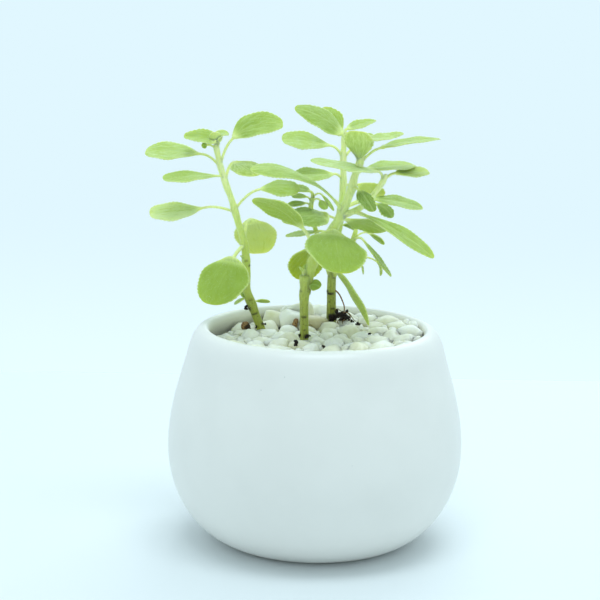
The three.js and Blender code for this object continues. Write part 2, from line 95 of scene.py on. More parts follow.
def joined(skins: Sequence[Skin]) -> Skin:
    """Several skins as one.

    Args:
        skins: The skins, which may have different tints.

    Returns:
        One skin whose faces keep their own points.
    """
    starts = np.cumsum([0] + [len(skin.points) for skin in skins])[:-1]
    names = sorted({name for skin in skins for name in skin.tints})
    return Skin(
        np.vstack([skin.points for skin in skins]),
        np.vstack([skin.quads + start for skin, start in zip(skins, starts)]),
        np.vstack([skin.triangles + start for skin, start in zip(skins, starts)]),
        {name: np.concatenate([skin.tint(name) for skin in skins]) for name in names},
    )


def closed_rings(rings: np.ndarray) -> Skin:
    """A closed skin through rings of points, with a pole at the middle of the first and of the last ring.

    Args:
        rings: An array of n rings of m points, each ring counterclockwise as seen from the last ring's side.

    Returns:
        The skin, whose points are the rings in order and then the two poles. Each face joins a point, its
        next in the ring, and the same two of the following ring.
    """
    rows, columns = rings.shape[:2]
    here = np.arange(columns)
    after = (here + 1) % columns
    base = (np.arange(rows - 1) * columns)[:, None]
    above = base + columns
    quads = np.stack([base + here, base + after, above + after, above + here], -1).reshape(-1, 4)
    count = rows * columns
    last = count - columns
    first_fan = np.stack([np.full(columns, count), after, here], -1)
    last_fan = np.stack([np.full(columns, count + 1), last + here, last + after], -1)
    points = np.vstack([rings.reshape(-1, 3), rings[0].mean(0), rings[-1].mean(0)])
    return Skin(points, quads, np.vstack([first_fan, last_fan]))


def over_rings(values: np.ndarray, columns: int) -> np.ndarray:
    """One value a ring, spread over the points of closed_rings."""
    return np.concatenate([np.repeat(values, columns), values[:1], values[-1:]])


def with_poles(values: np.ndarray) -> np.ndarray:
    """A grid of values, ring by ring, with the mean of the first and of the last ring for the two poles."""
    return np.concatenate([values.reshape(-1), [values[0].mean(), values[-1].mean()]])


def turns(count: int) -> np.ndarray:
    """Even angles round a full turn, from 0."""
    return 2 * np.pi * np.arange(count) / count


def unit(vectors: np.ndarray) -> np.ndarray:
    """Vectors brought to length 1 along the last axis."""
    return vectors / np.maximum(np.linalg.norm(vectors, axis=-1, keepdims=True), 1e-9)


def smooth(low: float, high: float, values: np.ndarray) -> np.ndarray:
    """0 up to low, 1 from high, and an even S-curve between: 3x^2 - 2x^3."""
    x = np.clip((values - low) / (high - low), 0, 1)
    return x * x * (3 - 2 * x)


def smooth_line(knots: Sequence[Sequence[float]], steps: int = 40) -> np.ndarray:
    """A smooth line through points.

    Args:
        knots: The points that the line passes.
        steps: How many points it gets between two knots.

    Returns:
        The points of a cubic for each span, whose slope at a knot is half the chord between its two
        neighbours. The line goes on straight past its ends to find the end slopes.
    """
    inner = np.array(knots, float)
    all_knots = np.vstack([2 * inner[0] - inner[1], inner, 2 * inner[-1] - inner[-2]])[:, None]
    before, start, end, after = all_knots[:-3], all_knots[1:-2], all_knots[2:-1], all_knots[3:]
    t = np.linspace(0, 1, steps, endpoint=False)[None, :, None]
    leaving, arriving = (end - before) / 2, (after - start) / 2
    spans = (2 * t**3 - 3 * t**2 + 1) * start + (t**3 - 2 * t**2 + t) * leaving
    spans = spans + (3 * t**2 - 2 * t**3) * end + (t**3 - t**2) * arriving
    return np.vstack([spans.reshape(-1, 3), inner[-1]])


def at_shares(line: np.ndarray, shares: np.ndarray) -> np.ndarray:
    """The points of a line at given shares of its length, from 0 at its start to 1 at its end."""
    lengths = np.concatenate([[0], np.cumsum(np.linalg.norm(np.diff(line, axis=0), axis=1))])
    return np.stack([np.interp(shares * lengths[-1], lengths, line[:, k]) for k in range(3)], -1)


def at_height(line: np.ndarray, height: float | np.ndarray) -> np.ndarray:
    """The points of a climbing line at given heights."""
    return np.stack([np.interp(height, line[:, 2], line[:, k]) for k in range(3)], -1)


def circles(u: np.ndarray, v: np.ndarray, sides: int) -> np.ndarray:
    """Circles of radius 1 about 0, one for each u and v: cos a * u + sin a * v at even angles a."""
    angles = turns(sides)
    return np.cos(angles)[None, :, None] * u[:, None] + np.sin(angles)[None, :, None] * v[:, None]


def pipe(line: np.ndarray, radii: np.ndarray, sides: int) -> Skin:
    """A round skin along a line.

    Args:
        line: n points.
        radii: One radius a point, or an array of n rows of one radius a side.
        sides: Points in each ring.

    Returns:
        A closed skin. Each ring lies across the line: a circle by u and v, times the radius, where u is +Y
        crossed with the line's direction and v completes it.
    """
    along = unit(np.gradient(line, axis=0))
    u = unit(np.cross([0.0, 1.0, 0.0], along))
    reach = radii if np.ndim(radii) == 2 else np.broadcast_to(radii[:, None], (len(line), sides))
    return closed_rings(line[:, None] + reach[..., None] * circles(u, np.cross(along, u), sides))


def ball_rays(rows: int, columns: int) -> np.ndarray:
    """Rays of length 1 all round.

    Args:
        rows: Rings between the poles, at even steps of latitude.
        columns: Rays in a ring, at even steps of longitude.

    Returns:
        The rays, ring by ring from the lowest up.
    """
    latitude = np.pi * (np.arange(rows) + 0.5) / rows - np.pi / 2
    longitude = turns(columns)
    level = np.cos(latitude)[:, None]
    rise = np.broadcast_to(np.sin(latitude)[:, None], (rows, columns))
    return np.stack([level * np.cos(longitude), level * np.sin(longitude), rise], -1)


def pebble_reach(rays: np.ndarray, draws: np.random.Generator, faces: int, sharpness: float) -> np.ndarray:
    """How far a pebble reaches along each ray.

    Args:
        rays: Rays of length 1.
        draws: The source of random numbers.
        faces: How many flat faces the pebble is rounded from.
        sharpness: How crisp its edges are; about 6 is worn round and 20 is freshly broken.

    Returns:
        The reach, about 1. It is the smooth least of the distances to all face planes and of a ball a tenth
        larger: the sum over the planes of (ray . normal / distance)^sharpness plus ball^-sharpness, to the
        power -1/sharpness, divided by its own mean.
    """
    nearest_plane, ball = 0.66, 1.1
    normals = unit(draws.normal(size=(faces, 3)))
    normals = np.vstack([normals, -normals])
    distances = draws.uniform(nearest_plane, 1.0, size=2 * faces)
    share = np.maximum(rays @ normals.T, 0) / distances
    reach = ((share**sharpness).sum(-1) + ball**-sharpness) ** (-1 / sharpness)
    return reach / reach.mean()


def wrinkles(rays: np.ndarray, draws: np.random.Generator, waves: int, pitch: float) -> np.ndarray:
    """A rough field.

    Args:
        rays: The places at which it is wanted.
        draws: The source of random numbers.
        waves: How many sine waves it is made of.
        pitch: How fast they go.

    Returns:
        Values from about -1 to 1: the mean of sine waves of random direction, pitch and phase.
    """
    coarsest, finest, raised = 0.6, 1.8, 1.6
    directions = unit(draws.normal(size=(waves, 3)))
    directions = directions * draws.uniform(coarsest, finest, size=(waves, 1)) * pitch
    phases = draws.uniform(0, 2 * np.pi, size=waves)
    return np.sin(rays @ directions.T + phases).mean(-1) * raised


def wrinkled(
    reach: float | np.ndarray, rays: np.ndarray, draws: np.random.Generator, *layers: Layer
) -> np.ndarray:
    """A reach with wrinkles.

    Args:
        reach: The even reach.
        rays: Rays of length 1.
        draws: The source of random numbers.
        layers: The wrinkles to add, each as (height, waves, pitch).

    Returns:
        The reach along each ray.
    """
    for height, waves, pitch in layers:
        reach = reach + height * wrinkles(rays, draws, waves, pitch)
    return reach


def lump(rays: np.ndarray, reach: np.ndarray, half: Triple, pose: Pair, middle: Triple) -> Skin:
    """A lump as a closed skin.

    Args:
        rays: Rays of length 1 in rings.
        reach: How far the lump goes along each, as a share of the half sizes.
        half: The half sizes.
        pose: The tilt about X and then the spin about Z, in radians.
        middle: Where its middle is.

    Returns:
        The rays times reach and half sizes, turned and moved.
    """
    (ct, cs), (st, ss) = np.cos(pose), np.sin(pose)
    about_x = np.array([[1, 0, 0], [0, ct, -st], [0, st, ct]])
    about_z = np.array([[cs, -ss, 0], [ss, cs, 0], [0, 0, 1]])
    points = rays * reach[..., None] * np.asarray(half)
    return closed_rings(points @ (about_z @ about_x).T + np.asarray(middle))


# Shader formulas


class Amount:
    """A number on a shader socket, which formulas can add, subtract, multiply and divide."""

    def __init__(self, book: "NodeBook", socket: bpy.types.NodeSocket) -> None:
        """Keeps the socket and the node book that makes its nodes."""
        self.book = book
        self.socket = socket

    def __add__(self, other: "Amount | float") -> "Amount":
        """This plus other."""
        return self.book.math("ADD", self, other)

    def __radd__(self, other: float) -> "Amount":
        """Other plus this."""
        return self.book.math("ADD", other, self)

    def __sub__(self, other: "Amount | float") -> "Amount":
        """This minus other."""
        return self.book.math("SUBTRACT", self, other)

    def __rsub__(self, other: float) -> "Amount":
        """Other minus this."""
        return self.book.math("SUBTRACT", other, self)

    def __mul__(self, other: "Amount | float") -> "Amount":
        """This times other."""
        return self.book.math("MULTIPLY", self, other)

    def __rmul__(self, other: float) -> "Amount":
        """Other times this."""
        return self.book.math("MULTIPLY", other, self)

    def __truediv__(self, other: "Amount | float") -> "Amount":
        """This divided by other."""
        return self.book.math("DIVIDE", self, other)

    def __abs__(self) -> "Amount":
        """This without its sign."""
        return self.book.math("ABSOLUTE", self)

    def step(self, low: float, high: float) -> "Amount":
        """A share that this amount sets.

        Args:
            low: Where the share is still 0.
            high: Where it is 1. If it is below low, the share falls as the amount grows.

        Returns:
            The share, with an even S-curve between.
        """
        if low > high:
            return 1.0 - self.step(high, low)
        ranged = {"interpolation_type": "SMOOTHSTEP"}
        values = {"Value": self, "From Min": low, "From Max": high}
        return Amount(self.book, self.book.node("ShaderNodeMapRange", ranged, values).outputs[0])


class NodeBook:
    """Makes the nodes of one material or world."""

    def __init__(self, holder: Finish | bpy.types.World) -> None:
        """Empties the node tree of a new material or world."""
        holder.use_nodes = True
        self.holder = holder
        self.tree = holder.node_tree
        self.tree.nodes.clear()

    @classmethod
    def material(cls, name: str) -> "NodeBook":
        """The node book of a new material."""
        return cls(bpy.data.materials.new(name))

    def node(
        self,
        kind: str,
        settings: dict[str, object] | None = None,
        inputs: dict[str | int, object] | None = None,
    ) -> bpy.types.Node:
        """Makes any node.

        Args:
            kind: The node's type.
            settings: Its own settings, set first; "stops" is a colour ramp's list of (place, colour).
            inputs: Values or links for its sockets, by name or number.

        Returns:
            The node.
        """
        made = self.tree.nodes.new(kind)
        for name, value in (settings or {}).items():
            if name == "stops":
                ramp = made.color_ramp.elements
                while len(ramp) < len(value):
                    ramp.new(1.0)
                for element, (place, colour) in zip(ramp, value):
                    element.position = place
                    element.color = (*colour, 1.0)
            else:
                setattr(made, name, value)
        for name, value in (inputs or {}).items():
            self.plug(made.inputs[name], value)
        return made

    def plug(self, socket: bpy.types.NodeSocket, value: object) -> None:
        """Links a socket or an amount into a socket, or sets a constant there.

        Args:
            socket: The socket to fill.
            value: A socket, an amount, a number or a colour.
        """
        source = value.socket if isinstance(value, Amount) else value
        if isinstance(source, bpy.types.NodeSocket):
            self.tree.links.new(source, socket)
        elif isinstance(source, tuple) and len(source) == 3 and socket.type == "RGBA":
            socket.default_value = (*source, 1.0)
        else:
            socket.default_value = source

    def math(self, operation: str, *values: "Amount | float") -> Amount:
        """A Math node on one or two values."""
        made = self.node("ShaderNodeMath", {"operation": operation}, dict(enumerate(values)))
        return Amount(self, made.outputs[0])

    def tint(self, name: str) -> Amount:
        """A tint of the piece's own mesh, as an amount."""
        made = self.node("ShaderNodeAttribute", {"attribute_type": "GEOMETRY", "attribute_name": name})
        return Amount(self, made.outputs["Fac"])

    def place(self, stretch: Triple = (1, 1, 1)) -> bpy.types.NodeSocket:
        """Where a point is on the piece, in metres, with each axis stretched."""
        spot = self.node("ShaderNodeTexCoord").outputs["Object"]
        scaled = self.node("ShaderNodeMapping", inputs={"Vector": spot, "Scale": stretch})
        return scaled.outputs[0]

    def axis(self, number: int, spot: bpy.types.NodeSocket | None = None) -> Amount:
        """One coordinate of a spot, by itself of the point's own place in metres."""
        split = self.node("ShaderNodeSeparateXYZ", inputs={0: spot or self.place()})
        return Amount(self, split.outputs[number])

    def noise(self, size: float, detail: float = 2.0, stretch: Triple = (1, 1, 1)) -> Amount:
        """Soft noise from 0 to 1, about 0.5, with patches of a given size in millimetres."""
        values = {"Vector": self.place(stretch), "Scale": 1 / (size * MM), "Detail": detail}
        return Amount(self, self.node("ShaderNodeTexNoise", inputs=values).outputs[0])

    def noise_at(self, spot: Sequence["Amount | float"], detail: float = 2.0) -> Amount:
        """Soft noise from 0 to 1, about 0.5, at three amounts, with patches of about 1."""
        joint = self.node("ShaderNodeCombineXYZ", inputs=dict(enumerate(spot))).outputs[0]
        made = self.node("ShaderNodeTexNoise", inputs={"Vector": joint, "Scale": 1.0, "Detail": detail})
        return Amount(self, made.outputs[0])

    def cells(self, size: float, feature: str = "F1") -> Amount:
        """The distance to the nearest cell's middle, or to its edge, with cells of a size in millimetres."""
        values = {"Vector": self.place(), "Scale": 1 / (size * MM)}
        made = self.node("ShaderNodeTexVoronoi", {"feature": feature}, values)
        return Amount(self, made.outputs["Distance"])

    def blend(self, first: object, second: object, share: "Amount | float") -> bpy.types.NodeSocket:
        """A colour between two: the first at share 0 and the second at share 1."""
        values = {0: share, 6: first, 7: second}
        return self.node("ShaderNodeMix", {"data_type": "RGBA"}, values).outputs[2]

    def ramp(self, stops: Sequence[tuple[float, Colour]], share: Amount) -> bpy.types.NodeSocket:
        """A colour that passes through stops as the share goes from 0 to 1."""
        return self.node("ShaderNodeValToRGB", {"stops": stops}, {0: share}).outputs[0]

    def relief(self, height: Amount, depth: float, strength: float = 1.0) -> bpy.types.NodeSocket:
        """The normal of a relief whose heights, from 0 to 1, are a depth in millimetres."""
        values = {"Height": height, "Distance": depth * MM, "Strength": strength}
        return self.node("ShaderNodeBump", inputs=values).outputs[0]

    def finish(self, **sockets: object) -> Finish:
        """Makes the Principled surface, with _ for the spaces in its sockets' names; returns the material."""
        inputs = {name.replace("_", " "): value for name, value in sockets.items()}
        surface = self.node("ShaderNodeBsdfPrincipled", inputs=inputs)
        self.node("ShaderNodeOutputMaterial", inputs={"Surface": surface.outputs[0]})
        return self.holder


def shown(red: int, green: int, blue: int) -> Colour:
    """A colour as the light that a shader works in.

    Args:
        red: The red share as it looks on a screen, from 0 to 255.
        green: The green share.
        blue: The blue share.

    Returns:
        The three shares of light, from 0 to 1.
    """
    share = np.array([red, green, blue]) / 255
    light = np.where(share > 0.04045, ((share + 0.055) / 1.055) ** 2.4, share / 12.92)
    return tuple(float(x) for x in light)


# Finishes


@dataclass(frozen=True)
class PotGlaze:
    """Matte white glaze over stoneware, with a bare foot under the pot and a few fine specks."""

    light: Colour = shown(239, 237, 231)
    deep: Colour = shown(236, 234, 228)
    speck: Colour = shown(186, 190, 184)
    bare: Colour = shown(226, 221, 208)
    bare_up_to: float = 0.35

    def material(self) -> Finish:
        """Makes the material.

        Returns:
            Soft clouds of two whites, a few specks, and the bare foot up to its height.
        """
        book = NodeBook.material("matte_white_glaze")
        clouds = book.noise(26, 3)
        glaze = book.blend(self.deep, self.light, clouds.step(0.3, 0.7))
        specks = book.cells(9).step(0.035, 0.02) * book.noise(40, 1).step(0.56, 0.66)
        glaze = book.blend(glaze, self.speck, specks * 0.6)
        bare = book.axis(2).step((self.bare_up_to + 0.2) * MM, self.bare_up_to * MM)
        colour = book.blend(glaze, self.bare, bare)
        orange_peel = book.noise(1.6, 2) * 0.5 + book.noise(0.35, 1) * 0.2 * bare
        return book.finish(
            Base_Color=colour,
            Roughness=0.42 + 0.4 * bare + 0.08 * clouds,
            Normal=book.relief(orange_peel, 0.04),
            Specular_IOR_Level=0.45,
            Coat_Weight=0.45 * (1.0 - bare),
            Coat_Roughness=0.3,
        )


@dataclass(frozen=True)
class StoneWhite:
    """Translucent white quartz, a little different from stone to stone, with painted shade round one spot."""

    cream: Colour = shown(233, 229, 200)
    white: Colour = shown(252, 249, 230)
    vein: Colour = shown(218, 213, 180)
    # Used for dusty stains, and also as painted shade round the tan spot.
    dust_and_shade: Colour = shown(176, 158, 118)

    def material(self) -> Finish:
        """Makes the material.

        Returns:
            A white set by the stone's own tint, cloudy veins, dusty stains, painted shade towards the same tan
            where the tint is below 0, and a sugary skin.
        """
        book = NodeBook.material("white_quartz")
        cloud = book.noise(3.5, 4)
        base = book.blend(self.cream, self.white, (book.tint("white") * 0.7 + cloud * 0.6).step(0.15, 0.95))
        colour = book.blend(base, self.vein, book.noise(5, 5).step(0.56, 0.72) * 0.4)
        colour = book.blend(colour, self.dust_and_shade, book.noise(7, 4).step(0.66, 0.74) * 0.5)
        # Painted shade: a whiteness tint below 0, round the tan spot, turns the stone towards the tan colour.
        colour = book.blend(colour, self.dust_and_shade, book.tint("white").step(0.0, -0.9) * 0.6)
        skin = book.noise(0.5, 3) * 0.6 + book.cells(0.9) * 0.4
        return book.finish(
            Base_Color=colour,
            Roughness=0.38 + 0.25 * book.noise(1.2, 2),
            Normal=book.relief(skin, 0.07),
            Subsurface_Weight=0.8,
            Subsurface_Radius=(1.0, 1.0, 0.85),
            Subsurface_Scale=0.007,
            Specular_IOR_Level=0.5,
        )


@dataclass(frozen=True)
class SoilDark:
    """Moist dark potting soil with paler fibres."""

    dark: Colour = shown(14, 11, 9)
    crumb: Colour = shown(46, 34, 27)
    fibre: Colour = shown(118, 92, 62)

    def material(self) -> Finish:
        """Makes the material.

        Returns:
            Crumbs of two browns, a few fibres and a rough skin.
        """
        book = NodeBook.material("dark_soil")
        crumbs = book.cells(0.8)
        base = book.blend(self.dark, self.crumb, (crumbs + book.noise(2, 4) - 0.6).step(0.0, 0.7))
        fibres = book.noise(0.5, 3, (1, 6, 1)).step(0.68, 0.74)
        return book.finish(
            Base_Color=book.blend(base, self.fibre, fibres * 0.6),
            Roughness=0.95,
            Normal=book.relief(crumbs * 0.7 + book.noise(0.3, 3) * 0.5, 0.25),
        )


@dataclass(frozen=True)
class WoodBrown:
    """Weathered bark and thin brown root."""

    dark: Colour = shown(100, 68, 42)
    light: Colour = shown(186, 148, 100)
    char: Colour = shown(40, 28, 20)

    def material(self) -> Finish:
        """Makes the material.

        Returns:
            Streaks along X, darker by the piece's own charred tint, with a split grain.
        """
        book = NodeBook.material("brown_bark")
        grain = book.noise(0.35, 4, (0.25, 1, 1))
        colour = book.blend(self.dark, self.light, grain.step(0.3, 0.7))
        colour = book.blend(colour, self.char, book.tint("charred"))
        return book.finish(Base_Color=colour, Roughness=0.85, Normal=book.relief(grain, 0.25))


@dataclass(frozen=True)
class LeafGreen:
    """Soft, downy, fleshy lime green, faint lengthwise veins, painted silvery sheen above, yellower below."""

    deep: Colour = shown(118, 145, 52)
    mid: Colour = shown(150, 174, 64)
    fresh: Colour = shown(166, 188, 74)
    pale: Colour = shown(176, 196, 100)
    shade_lift: Colour = shown(212, 226, 158)
    # Painted light: a pale lift for leaves that lie in shade.
    moss: Colour = shown(188, 196, 66)
    # Painted sheen: a silvery pale for the upper face.
    painted_sheen: Colour = shown(178, 202, 140)
    vein: Colour = shown(202, 216, 140)
    # Painted highlight: a pale line along each blade's edge.
    painted_rim_light: Colour = shown(220, 234, 174)
    shaft: Colour = shown(212, 224, 124)
    shoot: Colour = shown(244, 254, 184)
    bark: Colour = shown(160, 168, 72)
    brown: Colour = shown(112, 108, 50)
    scar: Colour = shown(60, 52, 34)
    down: Colour = shown(240, 250, 226)

    def veins(self, book: NodeBook, streaks: Amount) -> tuple[Amount, Amount]:
        """The closeness to the rib and to a side vein, each from 0 to 1.

        Args:
            book: The material's node book.
            streaks: Noise that is drawn out along the leaf, which bends the veins.

        Returns:
            The rib, a band round the middle line, and the side veins. A side vein leaves the rib at a sharp
            angle and bends forward: a point belongs to the place (along - 2.2 across) / pitch.
        """
        along, across, blade = book.tint("along"), abs(book.tint("across")), book.tint("blade")
        rib = across.step(0.7, 0.1) * blade
        place = (along - across * 2.2) / book.tint("pitch") + streaks * 0.9
        nearest = abs(book.math("FRACT", place) - 0.5) * 2.0
        return rib, nearest.step(0.6, 1.0) * blade * across.step(0.2, 1.2)

    def material(self) -> Finish:
        """Makes the material.

        Returns:
            One material for leaves and stems, told apart by the tints of their skins.
        """
        book = NodeBook.material("downy_green")
        blade, under, wood = book.tint("blade"), book.tint("under"), book.tint("wood")
        side, along, own = book.tint("side"), book.tint("along"), book.tint("own")
        streaks = book.noise_at((along * 0.22, side * 7.5, own * 9.0), 3.0)
        rib, side_veins = self.veins(book, streaks)
        mottle = book.noise(3.0, 4) - 0.5
        streaky = blade * (0.35 + 0.55 * book.tint("tone")) * book.tint("streaks")
        tone = book.tint("tone") + mottle * 0.24 + (book.noise(0.8, 2) - 0.5) * 0.12
        # Painted light: the underside is lifted by 0.12 in tone.
        tone = tone + (streaks - 0.5) * streaky * 1.2 + under * 0.12
        green = book.ramp([(0.0, self.deep), (0.35, self.mid), (0.65, self.fresh), (1.0, self.pale)], tone)
        # Painted light: tones past 0.95 blend towards the pale lift, for leaves that lie in shade.
        green = book.blend(green, self.shade_lift, tone.step(0.95, 1.35))
        green = book.blend(green, self.moss, book.tint("moss") * (0.75 + mottle))
        # Painted sheen: the silvery pale on the upper face only, in the lengthwise streaks.
        green = book.blend(green, self.painted_sheen, streaky * (1.0 - under) * streaks.step(0.3, 0.75) * 0.6)
        green = book.blend(green, self.vein, (rib * 0.3 + side_veins * streaks * 0.35) * book.tint("streaks"))
        # Painted highlight: the outer tenth of the blade's width, at its edges, goes pale.
        green = book.blend(green, self.painted_rim_light, abs(side).step(0.9, 1.0) * blade * 0.6)
        grain = book.noise(0.5, 3, (1, 1, 0.12))
        bark = book.blend(self.bark, self.brown, grain.step(0.4, 0.7) * (0.2 + 0.8 * book.tint("brown")))
        shaft = book.blend(self.shaft, self.shoot, book.tint("young"))
        shaft = book.blend(shaft, self.fresh, grain.step(0.4, 0.8) * 0.4)
        colour = book.blend(book.blend(shaft, green, blade), bark, wood)
        freckles = book.cells(1.1).step(0.36, 0.14) * book.noise(4, 2).step(0.46, 0.62) * (wood + 0.15)
        colour = book.blend(colour, self.scar, freckles * 0.6 + book.tint("scar"))
        veins = (rib * 0.6 + side_veins * 0.4) * (under * 2.0 - 1.0)
        pores = book.cells(0.7, "DISTANCE_TO_EDGE").step(0.0, 0.16) * blade
        skin = veins * 0.3 + streaks * streaky * 0.6 + pores * 0.12 + book.noise(0.25, 2) * 0.25
        return book.finish(
            Base_Color=colour,
            Roughness=0.55 + 0.15 * under,
            Normal=book.relief(skin, 0.2),
            Subsurface_Weight=0.85,
            Subsurface_Radius=(1.0, 0.95, 0.35),
            Subsurface_Scale=0.002,
            Sheen_Weight=0.3,
            Sheen_Roughness=0.4,
            Sheen_Tint=self.down,
            Specular_IOR_Level=0.25,
        )


@dataclass(frozen=True)
class DownPale:
    """The fine pale hairs of leaf and stem."""

    hair: Colour = shown(226, 244, 206)
    shade: Colour = shown(206, 230, 176)

    def material(self) -> Finish:
        """Makes the material.

        Returns:
            A pale green, a little lighter and darker from patch to patch.
        """
        book = NodeBook.material("pale_down")
        patch = book.noise(2.0, 2)
        return book.finish(
            Base_Color=book.blend(self.hair, self.shade, patch),
            Roughness=0.6 + 0.2 * patch,
            Subsurface_Weight=0.3,
            Subsurface_Radius=(0.8, 1.0, 0.6),
            Subsurface_Scale=0.001,
        )


@dataclass(frozen=True)
class FloorWhite:
    """A plain pale table top."""

    paper: Colour = shown(233, 236, 237)
    tooth: Colour = shown(230, 234, 235)

    def material(self) -> Finish:
        """Makes the material.

        Returns:
            An even white with a fine tooth.
        """
        book = NodeBook.material("pale_floor")
        grain = book.noise(1.0, 2)
        colour = book.blend(self.paper, self.tooth, grain)
        return book.finish(Base_Color=colour, Roughness=0.7, Normal=book.relief(grain, 0.02))


# Pieces


def stood(name: str, data: bpy.types.ID) -> bpy.types.Object:
    """Puts a new object into the scene, at the origin.

    Args:
        name: Its name.
        data: Its mesh, lamp or camera.

    Returns:
        The object.
    """
    made = bpy.data.objects.new(name, data)
    bpy.context.scene.collection.objects.link(made)
    return made


def mesh_of(name: str, skin: Skin) -> bpy.types.Mesh:
    """A skin as a mesh.

    Args:
        name: The mesh's name.
        skin: Its surface in millimetres.

    Returns:
        The mesh in metres, smoothly shaded, with the skin's tints as attributes of its points.
    """
    mesh = bpy.data.meshes.new(name)
    mesh.from_pydata((skin.points * MM).tolist(), [], skin.quads.tolist() + skin.triangles.tolist())
    mesh.polygons.foreach_set("use_smooth", np.ones(len(mesh.polygons), bool))
    for tint, values in skin.tints.items():
        mesh.attributes.new(tint, "FLOAT", "POINT").data.foreach_set("value", values.astype(np.float32))
    return mesh


def piece(name: str, skin: Skin, finish: Finish, slot: str, *stands_for: str) -> bpy.types.Object:
    """Puts a skin into Blender as a dressed piece that rides on the only body.

    Args:
        name: The piece's name.
        skin: Its surface in millimetres.
        finish: Its material.
        slot: The record's material slot, which is not used.
        stands_for: The CAD nodes that it replaces.

    Returns:
        The object, at the origin, with its place in its mesh. Points outside the CAD box are drawn onto it.
    """
    low, high = (np.array(corner) / MM for corner in CAD_BOX)
    skin.points = np.clip(skin.points, low, high)
    mesh = mesh_of(name, skin)
    mesh.materials.append(finish)
    made = stood(name, mesh)
    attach(made, "root")
    if stands_for:
        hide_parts(*stands_for)
    log.info("%s: %d triangles", name, 2 * len(skin.quads) + len(skin.triangles))
    return made


class Tone(Enum):
    """How light a leaf's green is, partly painted light: 0 is deepest, 1 palest, past 1 a lift for shade."""

    # Leaves lying in shade were given lighter tones, painted light; past 1 a pale lift colour blends in.
    DEEP = 0.05
    MID = 0.35
    SOFT = 0.5
    FRESH = 0.65
    BRIGHT = 0.8
    PALE = 0.95
    SHADE_LIFT = 1.3


